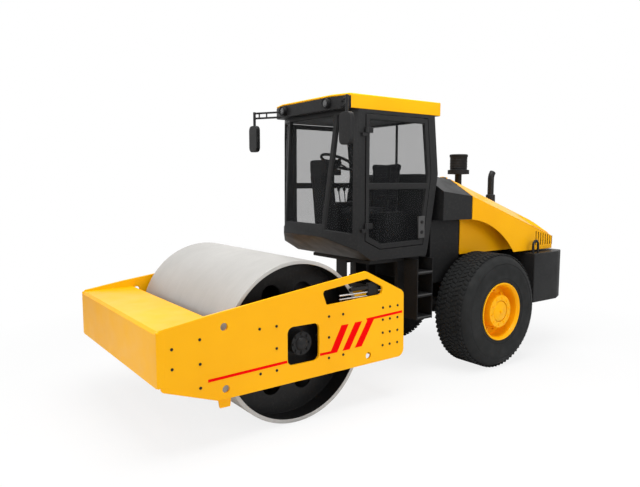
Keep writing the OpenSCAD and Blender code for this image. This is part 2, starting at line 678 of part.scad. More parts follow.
module roof() color(YELLOW) difference() {
    roof_body(eave_z, roof_top);
    header_space();
    translate([cab_x, 0, 0]) block([-roof_rear + roof_wall, -cab_half + roof_wall, eave_z + 30],
        [roof_corner - roof_wall, cab_half - roof_wall, roof_top - roof_wall]);
}
module roof_header() color(DARK) difference() {
    intersection() {
        roof_body(eave_z, roof_top);
        header_space();
    }
    lamp(lamp_d + 2 * seat_gap);
}
module work_lamps() color(BLACK) lamp(lamp_d);

// Seat, steering column and wheel
seat_x = cab_x - 1050;
floor_top = cab_bottom + cab_wall + floor_t;
seat_h = 330;
seat_z = floor_top + seat_h;
back_h = (eave_z - seat_z) * 0.57;
module seat_base() color(BLACK) {
    block([seat_x - 210, -200, floor_top], [seat_x + 190, 200, seat_z]);
    block([seat_x - 290, -200, seat_z - 60], [seat_x - 200, 200, seat_z + 20 - seat_gap]);
}
module seat_cushion() color(BLACK)
    upright(rounded([[seat_x - 200, seat_z + seat_gap, 20], [seat_x + 250, seat_z + seat_gap, 30],
        [seat_x + 270, seat_z + 120, 50], [seat_x - 200, seat_z + 110, 40]]), -245, 245);
module seat_back() color(BLACK)
    upright(rounded([[seat_x - 200 - seat_gap, seat_z + 20, 20], [seat_x - 200 - seat_gap, seat_z + 120, 0],
        [seat_x - 250, seat_z + back_h, 40], [seat_x - 350, seat_z + back_h - 10, 40],
        [seat_x - 290, seat_z + 20, 20]]), -235, 235);
column_x = cab_x - 440;
column_h = (eave_z - floor_top) * 0.66;
column_half = 105;
wheel_tilt = 24;
wheel_d = 420;
wheel_c = [column_x - 110, 0, floor_top + column_h - 10];
module steering_column() color(BLACK) {
    column_top = floor_top + column_h;
    upright(rounded([[column_x - 60, floor_top, 0], [column_x + 40, floor_top, 0],
        [column_x + 150, floor_top + 250, 60], [column_x + 190, column_top - 350, 60],
        [column_x + 220, column_top - 200, 60], [column_x + 190, column_top, 70],
        [column_x + 20, column_top - 30, 40], [column_x + 20, column_top - 330, 60]]),
        -column_half, column_half);
    translate(wheel_c) rotate([0, -wheel_tilt, 0]) bar_z(0, 0, 60, -120, -45);
    block([wheel_c.x - 25, -35, wheel_c.z - 160], [column_x + 60, 35, wheel_c.z - 90]);
}
module steering_wheel() color(BLACK) translate(wheel_c) rotate([0, -wheel_tilt, 0]) {
    rotate_extrude() translate([wheel_d / 2, 0]) circle(d = 34, $fn = 32);
    bar_z(0, 0, 100, -45 + seat_gap, 10);
    for (a = [60, 180, 300]) rotate([0, 0, a]) block([30, -18, -14], [wheel_d / 2, 18, -2]);
}

// Mirrors: a ladder of two bent tubes from each roof corner and an upright mirror head
mirror_y = 940;
mirror_x = cab_x + 90;
mirror_head = [55, 190, 330];
arm_d = 24;
arm_z = [roof_top - 142, roof_top - 80];
module mirrors() color(BLACK) both_sides() difference() {
    mirror_set();
    roof_body(eave_z, roof_top);
}
module mirror_set() {
    foot = [cab_x - roof_front - 60, 600, 0];
    bend = [mirror_x - 30, mirror_y, 0];
    for (z = arm_z) tube(foot + [0, 0, z], bend + [0, 0, z], arm_d);
    for (s = [0.55, 0.82]) let (rung = foot + s * (bend - foot))
        bar_z(rung.x, rung.y, 18, arm_z[0], arm_z[1]);
    bar_z(bend.x, bend.y, arm_d + 10, roof_top - 330, arm_z[1] + arm_d * 0.7);
    translate([0, mirror_y, roof_top - 235 - mirror_head.z / 2])
        facing(rounded([for (c = [[-1, -1], [1, -1], [1, 1], [-1, 1]])
            [c.x * mirror_head.y / 2, c.y * mirror_head.z / 2, 60]]), mirror_x - mirror_head.x, mirror_x);
}

// Cowl and hood: one roof-like section, vertical sides, sloping shoulders, flat crest
hood_half = hood_w / 2;
crest_half = crest_w / 2;
cowl_x = [cab_rear - cowl_gap, hood_joint];
hood_x = [hood_joint - move_gap, rear_x + 30];
hood_tail = rear_x + 140;
tail_half = hood_half - 70;
cowl_bottom = tank_top;
cowl_crest = 2450;
hood_bottom = counter_top + 25;
arch_x = axle_x + 320;
arch_z = 610;
arch_r = 1270;
well_half = 600;
function section(crest, low, t) = [[hood_half - t, low], [hood_half - t, crest - ridge_drop - t * 0.6],
    [crest_half - t * 0.3, crest - t], [-crest_half + t * 0.3, crest - t],
    [-hood_half + t, crest - ridge_drop - t * 0.6], [-hood_half + t, low]];
module ring(x, pts) translate([x, 0, 0]) rotate([90, 0, 90]) linear_extrude(0.5) polygon(pts);
module cowl_volume(t, low) hull() {
    ring(cowl_x[0] - 0.5 - t, section(cowl_crest, low, t));
    ring(cowl_x[1], section(crest_front, low, t));
}
hood_hinge_d = 34;
hood_pin_d = 18;
hood_hinge = [(cowl_x[1] + hood_x[0]) / 2, crest_front + hood_hinge_d / 2];
hood_hinge_y = [250, 310, 350];
module cowl() color(DARK) {
    difference() {
        cowl_volume(0, cowl_bottom);
        cowl_volume(sheet_t, cowl_bottom + sheet_t);
    }
    both_sides() {
        bar_y(hood_hinge.x, hood_hinge.y, hood_pin_d, hood_hinge_y[0], hood_hinge_y[2]);
        block([hood_hinge.x - hood_pin_d / 2, hood_hinge_y[1] + 1, hood_hinge.y - hood_pin_d / 2],
            [hood_hinge.x + 70, hood_hinge_y[2], hood_hinge.y + hood_pin_d / 2]);
        block([cowl_x[1], hood_hinge_y[1] + 1, crest_front - sheet_t / 2],
            [hood_hinge.x + 70, hood_hinge_y[2], hood_hinge.y + hood_pin_d / 2]);
    }
}
module hood_volume(t) hull() {
    ring(hood_x[0] - 0.5, section(crest_front, hood_bottom - t, t));
    ring(hood_tail + t, section(crest_rear, hood_bottom - t, t));
    ring(hood_x[1] + t, [[tail_half - t, hood_bottom - t], [tail_half - t, crest_rear - ridge_drop - 60],
        [crest_half - t, crest_rear - 70 - t], [-crest_half + t, crest_rear - 70 - t],
        [-tail_half + t, crest_rear - ridge_drop - 60], [-tail_half + t, hood_bottom - t]]);
}
louvre_x = [axle_x - 1180, axle_x - 1570];
louvre_count = 8;
louvre_w = 24;
grille_half = 420;
grille_slots = 5;
grille_pitch = 42;
grille_h = 20;
module grille() for (i = [0 : grille_slots - 1]) block(
    [hood_x[1] - 5, -grille_half + 20 * i, hood_bottom + 60 + grille_pitch * i],
    [hood_x[1] + sheet_t + 60, grille_half - 20 * i, hood_bottom + 60 + grille_pitch * i + grille_h]);
module hood_skin() difference() {
    hood_volume(0);
    hood_volume(sheet_t);
    block([hood_x[0] - sheet_t - 5, -hood_half + sheet_t, hood_bottom - 10],
        [BIG, hood_half - sheet_t, crest_front - ridge_drop - sheet_t]);
}
module hood_knuckles() both_sides() difference() {
    union() {
        bar_y(hood_hinge.x, hood_hinge.y, hood_hinge_d, hood_hinge_y[0], hood_hinge_y[1]);
        block([hood_x[0] - 70, hood_hinge_y[0], crest_front - 60],
            [hood_x[0] - 2, hood_hinge_y[1], hood_hinge.y + 8]);
        block([hood_x[0] - 70, hood_hinge_y[0], hood_hinge.y - 8],
            [hood_hinge.x, hood_hinge_y[1], hood_hinge.y + 8]);
    }
    bar_y(hood_hinge.x, hood_hinge.y, hood_pin_d + 2 * run_gap, 0, BIG);
}
module hood() color(YELLOW) {
    hood_knuckles();
    difference() {
        hood_skin();
        bar_y(arch_x, arch_z, 2 * arch_r, -BIG, BIG);
        grille();
        both_sides() for (i = [0 : louvre_count - 1])
            let (x = louvre_x[0] + (louvre_x[1] - louvre_x[0]) * i / (louvre_count - 1))
            block([x - louvre_w / 2, hood_half - sheet_t - 5, hood_bottom + 60],
                [x + louvre_w / 2, hood_half + 5, hood_bottom + 260 - louvre_w / 2 * i]);
    }
    both_sides() intersection() {
        hood_volume(0);
        block([axle_x - 1000, well_half - sheet_t, hood_bottom + sheet_t], [hood_x[0], well_half, BIG]);
    }
}

// Air pre-cleaner and exhaust standing on the hood
cleaner_x = axle_x - 440;
cleaner_z = 2460;
module precleaner() color(BLACK) translate([cleaner_x, 0, 0]) {
    base = crest_front + (crest_rear - crest_front) * (hood_x[0] - cleaner_x) / (hood_x[0] - hood_tail);
    difference() {
        bar_z(0, 0, 95, base - 60, cleaner_z);
        hood_volume_at(cleaner_x);
    }
    bar_z(0, 0, 300, cleaner_z - OVERLAP, cleaner_z + 45);
    bar_z(0, 0, 235, cleaner_z + 40, cleaner_z + 250);
    bar_z(0, 0, 255, cleaner_z + 245, cleaner_z + 280);
}
module hood_volume_at(x) translate([-x, 0, 0]) hood_volume(0);
pipe_d = 92;
pipe_x = axle_x - 1170;
pipe_top = 2390;
module exhaust() color(BLACK) difference() {
    translate([pipe_x, 0, 0]) {
        bar_z(0, 0, pipe_d, crest_rear, pipe_top);
        bar_z(0, 0, 190, crest_rear, crest_rear + 190);
        translate([-160, 0, pipe_top]) rotate([90, 0, 0]) rotate_extrude(angle = 40)
            translate([160, 0]) circle(d = pipe_d);
    }
    hood_volume(0);
}

drum();
side_plate_left();
side_plate_right();
bumper();
rear_beam();
carrier_left();
carrier_right();
rubber_buffers();
scrapers();
yoke();
rear_frame();
pivot_pins();
barrel_left();
barrel_right();
rod_left();
rod_right();
rear_axle();
tyre_left();
tyre_right();
rim_left();
rim_right();
engine_block();
tanks();
counterweight();
lifting_loops();
steps();
cab_floor();
cab_frame();
cab_panes();
roof();
roof_header();
work_lamps();
door_left();
door_right();
door_left_glass();
door_right_glass();
seat_base();
seat_cushion();
seat_back();
steering_column();
steering_wheel();
mirrors();
cowl();
hood();
precleaner();
exhaust();
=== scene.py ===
"""Looks of a single-drum road roller: finishes, rounded shapes, trim, tyres, seat and stage."""
import json
import math

import bmesh
import bpy
from bpy.props import FloatProperty, FloatVectorProperty, IntProperty, PointerProperty
from mathutils import Matrix, Vector
from mathutils.bvhtree import BVHTree


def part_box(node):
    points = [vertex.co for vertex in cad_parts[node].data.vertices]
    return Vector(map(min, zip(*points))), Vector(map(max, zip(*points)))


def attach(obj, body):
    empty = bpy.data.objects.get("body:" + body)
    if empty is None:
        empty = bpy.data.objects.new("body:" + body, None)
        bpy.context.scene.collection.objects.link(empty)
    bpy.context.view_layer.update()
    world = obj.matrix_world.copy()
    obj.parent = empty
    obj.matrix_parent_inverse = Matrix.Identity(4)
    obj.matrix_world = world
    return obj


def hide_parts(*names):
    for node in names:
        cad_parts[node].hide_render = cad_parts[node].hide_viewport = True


bl_info = {
    "name": "Road roller dresser",
    "version": (1, 0, 0),
    "blender": (4, 5, 0),
    "location": "View3D > Sidebar > Roller",
    "description": "Dresses the packed road roller: paint, rounded edges, trim, tyres, seat and studio",
    "category": "Object",
}

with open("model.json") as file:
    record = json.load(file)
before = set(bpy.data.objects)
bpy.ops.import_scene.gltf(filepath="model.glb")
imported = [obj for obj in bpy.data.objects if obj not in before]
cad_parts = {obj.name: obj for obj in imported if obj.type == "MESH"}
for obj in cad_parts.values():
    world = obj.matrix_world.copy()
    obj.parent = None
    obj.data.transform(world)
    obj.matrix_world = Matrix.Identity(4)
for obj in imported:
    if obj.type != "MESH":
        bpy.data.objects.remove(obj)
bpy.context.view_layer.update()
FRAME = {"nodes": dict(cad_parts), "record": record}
NODES = FRAME["nodes"]


def corners_of(node):
    """The low and the high corner of a CAD node's box."""
    return tuple(Vector(corner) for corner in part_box(node))


DRUM_LOW, DRUM_HIGH = corners_of("drum")
DRUM_X, _, DRUM_Z = (DRUM_LOW + DRUM_HIGH) / 2
TYRE_LOW, TYRE_HIGH = corners_of("tyre_left")
AXLE_X, TYRE_Y, AXLE_Z = (TYRE_LOW + TYRE_HIGH) / 2
PLATE_FACE = corners_of("side_plate_left")[1].y
CAB_LOW = corners_of("cab_frame")[0]
CAB_MID_X = 0.13

COLOUR = {"subtype": "COLOR", "size": 3, "min": 0.0, "max": 1.0}
LENGTH = {"subtype": "DISTANCE", "unit": "LENGTH"}


class RollerColours(bpy.types.PropertyGroup):
    """Colours of the roller's finishes"""

    yellow: FloatVectorProperty(name="Yellow paint", description="Plates, bumper, hood, roof and rims",
                                default=(1.0, 0.455, 0.001), **COLOUR)
    dark: FloatVectorProperty(name="Dark paint", description="Cab, cowl, counterweight and frame",
                              default=(0.012, 0.012, 0.0124), **COLOUR)
    black: FloatVectorProperty(name="Black paint", description="Axle, steps, mirrors and pipes",
                               default=(0.010, 0.010, 0.0105), **COLOUR)
    drum: FloatVectorProperty(name="Drum steel", description="Rolled shell of the drum",
                              default=(0.46, 0.447, 0.425), **COLOUR)
    rubber: FloatVectorProperty(name="Tyre rubber", description="Carcass and tread of the tyres",
                                default=(0.011, 0.0115, 0.0115), **COLOUR)
    stripe: FloatVectorProperty(name="Red stripe", description="Stripes along the side plates",
                                default=(0.88, 0.0, 0.0), **COLOUR)


class RollerSizes(bpy.types.PropertyGroup):
    """Sizes of the trim"""

    bolt: FloatProperty(name="Plate bolt", description="Width across the corners of a side plate's bolt heads",
                        default=0.020, min=0.01, max=0.08, **LENGTH)
    tread: FloatProperty(name="Tread depth", description="Height of the tyre's tread blocks",
                         default=0.010, min=0.005, max=0.03, **LENGTH)
    pitches: IntProperty(name="Tread pitches", description="Tread blocks round a tyre",
                         default=72, min=20, max=90)


def colours():
    return bpy.context.scene.roller_colours


def sizes():
    return bpy.context.scene.roller_sizes


def deselect():
    """Leaves edit mode and selects nothing."""
    if bpy.context.object and bpy.context.object.mode != "OBJECT":
        bpy.ops.object.mode_set(mode="OBJECT")
    bpy.ops.object.select_all(action="DESELECT")


def only(piece):
    """Selects one piece and makes it active."""
    deselect()
    piece.select_set(True)
    bpy.context.view_layer.objects.active = piece


def edit(piece):
    """Enters edit mode with everything selected."""
    only(piece)
    bpy.ops.object.mode_set(mode="EDIT")
    bpy.ops.mesh.select_all(action="SELECT")


def pick(piece, test):
    """In edit mode, selects the faces whose centre and normal pass the test."""
    bm = bmesh.from_edit_mesh(piece.data)
    for part in (*bm.verts, *bm.edges, *bm.faces):
        part.select = False
    for face in bm.faces:
        if test(face.calc_center_median(), face.normal):
            face.select_set(True)
    bm.select_flush_mode()
    bmesh.update_edit_mesh(piece.data)


def settle(piece):
    """Puts the place, turn and scale of a piece into its mesh."""
    only(piece)
    bpy.ops.object.transform_apply(location=True, rotation=True, scale=True)


def closed_up(piece):
    """Merges a new mesh's doubles and turns its faces outwards."""
    edit(piece)
    bpy.ops.mesh.remove_doubles(threshold=0.00005)
    bpy.ops.mesh.normals_make_consistent(inside=False)
    bpy.ops.object.mode_set(mode="OBJECT")
    return piece


def apply_modifiers(piece):
    only(piece)
    for mod in list(piece.modifiers):
        bpy.ops.object.modifier_apply(modifier=mod.name)


def round_edges(piece, width, steps, angle):
    """Bevels the edges that are sharper than the angle."""
    edit(piece)
    bpy.ops.mesh.select_all(action="DESELECT")
    bpy.ops.mesh.select_mode(type="EDGE")
    bpy.ops.mesh.edges_select_sharp(sharpness=math.radians(angle))
    bpy.ops.mesh.bevel(offset=width, segments=steps, affect="EDGES", clamp_overlap=True)
    bpy.ops.object.mode_set(mode="OBJECT")


def linked(name, data):
    """A new object in the scene."""
    piece = bpy.data.objects.new(name, data)
    bpy.context.collection.objects.link(piece)
    return piece


def from_points(name, points, edges, faces):
    mesh = bpy.data.meshes.new(name)
    mesh.from_pydata([tuple(p) for p in points], edges, faces)
    return linked(name, mesh)


def make_box(name, low, high, soft, steps=2):
    """A box between two corners, with rounded edges."""
    low, high = Vector(low), Vector(high)
    deselect()
    bpy.ops.mesh.primitive_cube_add(size=1, location=(low + high) / 2)
    piece = bpy.context.object
    piece.name = name
    piece.scale = high - low
    settle(piece)
    if soft:
        round_edges(piece, soft, steps, 30.0)
    return piece


def make_rod(name, start, end, d, soft, sides, far_d=None):
    """A round bar from start to end, or a cone where far_d is given."""
    start, end = Vector(start), Vector(end)
    turn = (end - start).to_track_quat("Z", "Y").to_euler()
    deselect()
    bpy.ops.mesh.primitive_cone_add(vertices=sides, radius1=d / 2, radius2=(far_d or d) / 2,
                                    depth=(end - start).length, location=(start + end) / 2, rotation=turn)
    piece = bpy.context.object
    piece.name = name
    settle(piece)
    if soft:
        round_edges(piece, soft, 2, 50.0)
    return piece


def make_prism(name, points, push):
    """A flat outline of 3-D points pushed out along a vector."""
    piece = from_points(name, points, [], [list(range(len(points)))])
    edit(piece)
    bpy.ops.mesh.extrude_region_move(TRANSFORM_OT_translate={"value": tuple(push)})
    bpy.ops.object.mode_set(mode="OBJECT")
    return closed_up(piece)


def make_turned(name, profile, centre, axis, steps):
    """A profile of (radius, along) points spun about an axis. One that starts off the axis is a closed loop."""
    axis, centre = Vector(axis), Vector(centre)
    out = axis.orthogonal().normalized()
    edges = [(i, i + 1) for i in range(len(profile) - 1)]
    if profile[0][0] > 0.0:
        edges.append((len(profile) - 1, 0))
    piece = from_points(name, [centre + out * r + axis * a for r, a in profile], edges, [])
    edit(piece)
    bpy.ops.mesh.spin(steps=steps, angle=math.tau, center=centre, axis=axis)
    bpy.ops.object.mode_set(mode="OBJECT")
    return closed_up(piece)


def make_pipe(name, points, d, sides, closed=False):
    """A round pipe along a path, as a mesh."""
    curve = bpy.data.curves.new(name, "CURVE")
    curve.dimensions = "3D"
    curve.bevel_depth = d / 2
    curve.bevel_resolution = sides
    curve.use_fill_caps = not closed
    spline = curve.splines.new("POLY")
    spline.points.add(len(points) - 1)
    for point, place in zip(spline.points, points):
        point.co = (*place, 1)
    spline.use_cyclic_u = closed
    only(linked(name, curve))
    bpy.ops.object.convert(target="MESH")
    return closed_up(bpy.context.object)


def joined(name, parts):
    """One piece of several, under a name."""
    deselect()
    for part in parts:
        part.select_set(True)
    bpy.context.view_layer.objects.active = parts[0]
    if len(parts) > 1:
        bpy.ops.object.join()
    piece = bpy.context.object
    piece.name = piece.data.name = name
    return piece


def copied(piece, place):
    """A copy of a piece with its own mesh, moved or mirrored by a matrix."""
    copy = linked(piece.name, piece.data.copy())
    copy.data.transform(place)
    if place.determinant() < 0:
        copy.data.flip_normals()
    return copy


def mirrored(piece, name):
    """A copy on the other side of the machine."""
    return joined(name, [copied(piece, Matrix.Scale(-1, 4, (0, 1, 0)))])


def stamped(piece, name, places):
    """Copies of a modelled piece at the matrices, joined under one name. The first one goes."""
    copies = [copied(piece, place) for place in places]
    bpy.data.objects.remove(piece)
    return joined(name, copies)


def bolt_ring(bolt, centre, radius, count, start=0.0):
    """Copies of a bolt on a circle round a cross axle. start is a share of the pitch."""
    middle, out = Matrix.Translation(centre), Matrix.Translation((radius, 0, 0))
    turns = [math.tau * (i + start) / count for i in range(count)]
    return stamped(bolt, bolt.name + "s", [middle @ Matrix.Rotation(turn, 4, "Y") @ out for turn in turns])


def make_bolt(name, d, height):
    """A hexagon head with a chamfered top on a washer, standing on the origin along +Y."""
    head = make_rod(name, (0, d * 0.1, 0), (0, height, 0), d, 0, 6)
    edit(head)
    pick(head, lambda c, n: n.y > 0.9)
    bpy.ops.mesh.inset(thickness=d * 0.09, depth=0)
    bpy.ops.transform.translate(value=(0, d * 0.05, 0))
    bpy.ops.object.mode_set(mode="OBJECT")
    washer = make_rod(name + "_washer", (0, -0.001, 0), (0, d * 0.12, 0), d * 1.35, d * 0.03, 20)
    return joined(name, [head, washer])


FINISHES = {}


def placed(piece, finish, body, slot, *nodes, angle=40.0):
    """Gives a piece smooth shading, a finish and its body, and hides the nodes that it stands for. The slot is
    not used.
    """
    only(piece)
    bpy.ops.object.shade_smooth_by_angle(angle=math.radians(angle))
    piece.modifiers.new("normals", "WEIGHTED_NORMAL").keep_sharp = True
    apply_modifiers(piece)
    piece.data.materials.clear()
    piece.data.materials.append(FINISHES[finish])
    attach(piece, body)
    if nodes:
        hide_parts(*nodes)
    return piece


def both_sides(parts, name, finish, body, slot, *nodes):
    """Places the joined parts on the left and their mirror image on the right. {} stands for the side."""
    left = joined(name.format("left"), parts)
    right = mirrored(left, name.format("right"))
    for piece, side in ((left, "left"), (right, "right")):
        placed(piece, finish, body.format(side), slot, *(node.format(side) for node in nodes))


def paint_faces(piece, finish, test):
    """Gives the faces whose centre passes the test another finish."""
    piece.data.materials.append(FINISHES[finish])
    for face in piece.data.polygons:
        if test(face.center):
            face.material_index = len(piece.data.materials) - 1


def node_copy(node, name, merge=True):
    """A copy of a CAD node's mesh with its doubles removed and, where asked, its flat faces merged."""
    piece = linked(name, NODES[node].data.copy())
    edit(piece)
    bpy.ops.mesh.remove_doubles(threshold=0.00002)
    if merge:
        bpy.ops.mesh.dissolve_limited(angle_limit=math.radians(0.4))
    bpy.ops.object.mode_set(mode="OBJECT")
    return piece


def softened(node, finish, body, slot, width):
    """Stands for a CAD node with its sharp edges rounded. Corners that stray go back to the node's surface."""
    piece = node_copy(node, node + "_shape", merge=False)
    surface = BVHTree.FromPolygons([v.co.copy() for v in piece.data.vertices],
                                   [tuple(f.vertices) for f in piece.data.polygons])
    mod = piece.modifiers.new("edges", "BEVEL")
    mod.width = width
    mod.segments = 2
    mod.limit_method = "ANGLE"
    mod.angle_limit = math.radians(28.0)
    mod.use_clamp_overlap = False
    mod.loop_slide = False
    apply_modifiers(piece)
    for vertex in piece.data.vertices:
        spot, _, _, gap = surface.find_nearest(vertex.co)
        if gap > width * 0.6:
            vertex.co = spot
    return placed(piece, finish, body, slot, node)


# Finishes


class Tree:
    """A node tree with short ways to add to it."""

    def __init__(self, tree):
        self.tree = tree

    def add(self, kind, inputs=None, **values):
        """A new node with its settings and the values of its sockets."""
        node = self.tree.nodes.new(kind)
        for key, value in values.items():
            setattr(node, key, value)
        for key, value in (inputs or {}).items():
            node.inputs[key].default_value = value
        return node

    def link(self, source, target):
        self.tree.links.new(source, target)

    def fed(self, kind, *sources, **values):
        """The first output of a new node whose first sockets are fed by the sources."""
        node = self.add(kind, **values)
        for source, socket in zip(sources, node.inputs):
            self.link(source, socket)
        return node.outputs[0]


def shade(colour, factor):
    return tuple(min(1.0, c * factor) for c in colour)


class Finish(Tree):
    """A material's tree: patterns in the piece's own coordinates that feed one shader."""

    MIX_FIRST, MIX_SECOND, MIX_RESULT = 6, 7, 2

    def __init__(self, name):
        self.material = bpy.data.materials.new(name)
        self.material.use_nodes = True
        super().__init__(self.material.node_tree)
        self.shader = self.tree.nodes["Principled BSDF"]
        self.coords = self.add("ShaderNodeTexCoord").outputs["Object"]

    def set(self, **values):
        for key, value in values.items():
            self.shader.inputs[key.replace("_", " ")].default_value = value

    def feed(self, **sources):
        for key, source in sources.items():
            self.link(source, self.shader.inputs[key.replace("_", " ")])

    def noise(self, scale, detail=3.0, rough=0.5, stretch=None):
        """A noise pattern, drawn out where stretch gives its scale along each axis."""
        node = self.add("ShaderNodeTexNoise", {"Scale": scale, "Detail": detail, "Roughness": rough})
        vector = self.coords
        if stretch:
            vector = self.fed("ShaderNodeMapping", vector, inputs={"Scale": stretch})
        self.link(vector, node.inputs["Vector"])
        return node.outputs["Fac"]

    def wave(self, direction, scale, distortion=0.0):
        node = self.add("ShaderNodeTexWave", {"Scale": scale, "Distortion": distortion},
                        bands_direction=direction)
        self.link(self.coords, node.inputs["Vector"])
        return node.outputs["Fac"]

    def span(self, source, low, high, to_low, to_high):
        return self.fed("ShaderNodeMapRange", source, inputs={
            "From Min": low, "From Max": high, "To Min": to_low, "To Max": to_high})

    def mix(self, factor, first, second):
        """A mix of two colours, each an output or a plain colour."""
        node = self.add("ShaderNodeMix", data_type="RGBA")
        self.link(factor, node.inputs["Factor"])
        for index, value in ((self.MIX_FIRST, first), (self.MIX_SECOND, second)):
            if hasattr(value, "is_output"):
                self.link(value, node.inputs[index])
            else:
                node.inputs[index].default_value = (*value, 1.0)
        return node.outputs[self.MIX_RESULT]

    def tint(self, factor, colour, low, high):
        """A colour between two shades of itself."""
        return self.mix(factor, shade(colour, low), shade(colour, high))

    def worn(self, pattern, low, high):
        """Lets a pattern vary the roughness."""
        self.feed(Roughness=self.span(pattern, 0.3, 0.7, low, high))

    def bump(self, height, strength, distance):
        node = self.add("ShaderNodeBump", {"Strength": strength, "Distance": distance})
        self.link(height, node.inputs["Height"])
        self.feed(Normal=node.outputs["Normal"])


ROAD_DUST = (0.30, 0.27, 0.23)


def paint(name, colour, rough, coat, vary=0.05, peel=0.05, dust=0.03, shine=0.16):
    """Sprayed paint: slow colour drift, specks of dust, orange peel and a clear coat."""
    tree = Finish(name)
    drift = tree.span(tree.noise(1.1), 0.35, 0.65, 0.0, 1.0)
    speck = tree.span(tree.noise(38.0, 6.0, 0.65), 0.52, 0.78, 0.0, dust)
    tree.feed(Base_Color=tree.mix(speck, tree.tint(drift, colour, 1.0 - vary, 1.0 + vary), ROAD_DUST))
    tree.worn(tree.noise(5.0, 5.0), rough - 0.06, rough + 0.08)
    tree.bump(tree.noise(420.0, 2.0), peel, 0.0006)
    tree.set(Coat_Weight=coat, Coat_Roughness=0.12, Specular_IOR_Level=shine)
    return tree.material


def drum_steel(name, colour):
    """Rolled steel: fine rings round the drum and faint blotches."""
    tree = Finish(name)
    rings = tree.noise(1.0, 4.0, 0.6, (2.0, 160.0, 2.0))
    blotch = tree.span(tree.noise(2.4, 5.0, 0.6), 0.35, 0.7, 0.0, 1.0)
    base = tree.tint(blotch, colour, 0.93, 1.05)
    tree.feed(Base_Color=tree.mix(tree.span(rings, 0.45, 0.75, 0.0, 0.35), base, shade(colour, 0.86)))
    tree.worn(rings, 0.42, 0.58)
    tree.bump(rings, 0.08, 0.001)
    tree.set(Metallic=0.25)
    return tree.material


def bright_steel(name, colour, rough):
    """Bare metal with a fine grain."""
    tree = Finish(name)
    fine = tree.noise(180.0, 4.0, 0.6)
    tree.feed(Base_Color=tree.tint(fine, colour, 0.9, 1.08))
    tree.worn(fine, rough - 0.06, rough + 0.1)
    tree.bump(fine, 0.05, 0.0004)
    tree.set(Metallic=1.0)
    return tree.material


def rubber(name, colour, rough):
    """Dull rubber: fine grain, slight bloom in patches."""
    tree = Finish(name)
    bloom = tree.span(tree.noise(3.0, 5.0, 0.6), 0.4, 0.75, 0.0, 1.0)
    tree.feed(Base_Color=tree.tint(bloom, colour, 0.85, 1.35))
    tree.worn(tree.noise(9.0, 4.0), rough - 0.08, rough + 0.1)
    tree.bump(tree.noise(220.0), 0.18, 0.0012)
    tree.set(Specular_IOR_Level=0.25)
    return tree.material


def pane_glass(name, colour, cover):
    """Smoke-tinted safety glass with a faint haze. Each face covers a share of what is behind it."""
    tree = Finish(name)
    haze = tree.span(tree.noise(14.0, 5.0, 0.7), 0.45, 0.8, 0.02, 0.06)
    tree.feed(Base_Color=tree.tint(tree.noise(2.2), colour, 0.9, 1.1), Roughness=haze)
    tree.set(Alpha=cover, IOR=1.45, Specular_IOR_Level=0.06)
    return tree.material


def lens(name, colour):
    """Lamp lens with moulded flutes."""
    tree = Finish(name)
    flutes = tree.wave("Y", 55.0)
    tree.feed(Base_Color=tree.tint(flutes, colour, 0.75, 1.1))
    tree.worn(tree.noise(30.0), 0.12, 0.22)
    tree.bump(flutes, 0.3, 0.002)
    tree.set(Coat_Weight=0.6, Coat_Roughness=0.05)
    return tree.material


def plastic(name, colour):
    """Moulded plastic with a leather-like grain."""
    tree = Finish(name)
    cells = tree.add("ShaderNodeTexVoronoi", {"Scale": 260.0})
    tree.link(tree.coords, cells.inputs["Vector"])
    tree.feed(Base_Color=tree.tint(tree.noise(6.0, 4.0), colour, 0.85, 1.25))
    tree.worn(tree.noise(16.0), 0.5, 0.65)
    tree.bump(cells.outputs["Distance"], 0.06, 0.0003)
    tree.set(Specular_IOR_Level=0.15)
    return tree.material


def woven(name, colour):
    """Coarse woven seat cloth with a soft sheen."""
    tree = Finish(name)
    threads = [tree.wave(direction, 130.0, 0.6) for direction in ("X", "Y")]
    cross = tree.fed("ShaderNodeMath", *threads, operation="MULTIPLY")
    tree.feed(Base_Color=tree.tint(cross, colour, 0.6, 1.5))
    tree.worn(tree.noise(20.0), 0.8, 0.95)
    tree.bump(cross, 0.35, 0.001)
    tree.set(Sheen_Weight=0.15, Sheen_Roughness=0.5, Specular_IOR_Level=0.1)
    return tree.material


def make_finishes():
    c = colours()
    FINISHES.update(
        yellow=paint("yellow_paint", tuple(c.yellow), 0.36, 0.05, dust=0.015, shine=0.12),
        stripe=paint("red_stripe", tuple(c.stripe), 0.5, 0.0, vary=0.03, dust=0.005, shine=0.04),
        dark=paint("dark_paint", tuple(c.dark), 0.46, 0.04, vary=0.12, peel=0.08, dust=0.05),
        black=paint("black_paint", tuple(c.black), 0.42, 0.05, vary=0.15, peel=0.08, dust=0.05),
        grey=paint("grey_paint", (0.06, 0.06, 0.06), 0.5, 0.0, vary=0.08, dust=0.05),
        iron=paint("engine_iron", (0.03, 0.031, 0.033), 0.6, 0.0, vary=0.2, peel=0.35, dust=0.1),
        steel=drum_steel("drum_steel", tuple(c.drum)),
        bright=bright_steel("polished_steel", (0.62, 0.62, 0.63), 0.22),
        zinc=bright_steel("zinc_bolts", (0.34, 0.31, 0.25), 0.4),
        tyre=rubber("tyre_rubber", tuple(c.rubber), 0.78),
        rubber=rubber("black_rubber", (0.012, 0.012, 0.012), 0.7),
        glass=pane_glass("cab_glass", (0.02, 0.021, 0.022), 0.22),
        mirror=bright_steel("mirror_glass", (0.8, 0.82, 0.83), 0.06),
        lamp=lens("lamp_glass", (0.04, 0.04, 0.042)),
        red_lens=lens("red_lens", (0.5, 0.01, 0.008)),
        plastic=plastic("black_plastic", (0.010, 0.010, 0.0105)),
        cloth=woven("seat_cloth", (0.03, 0.03, 0.033)),
        # Near-black paint for sheets that stand for painted shade in the hood's openings.
        shadow=paint("painted_shade_sheet", (0.006, 0.006, 0.006), 0.7, 0.0, vary=0.2),
    )


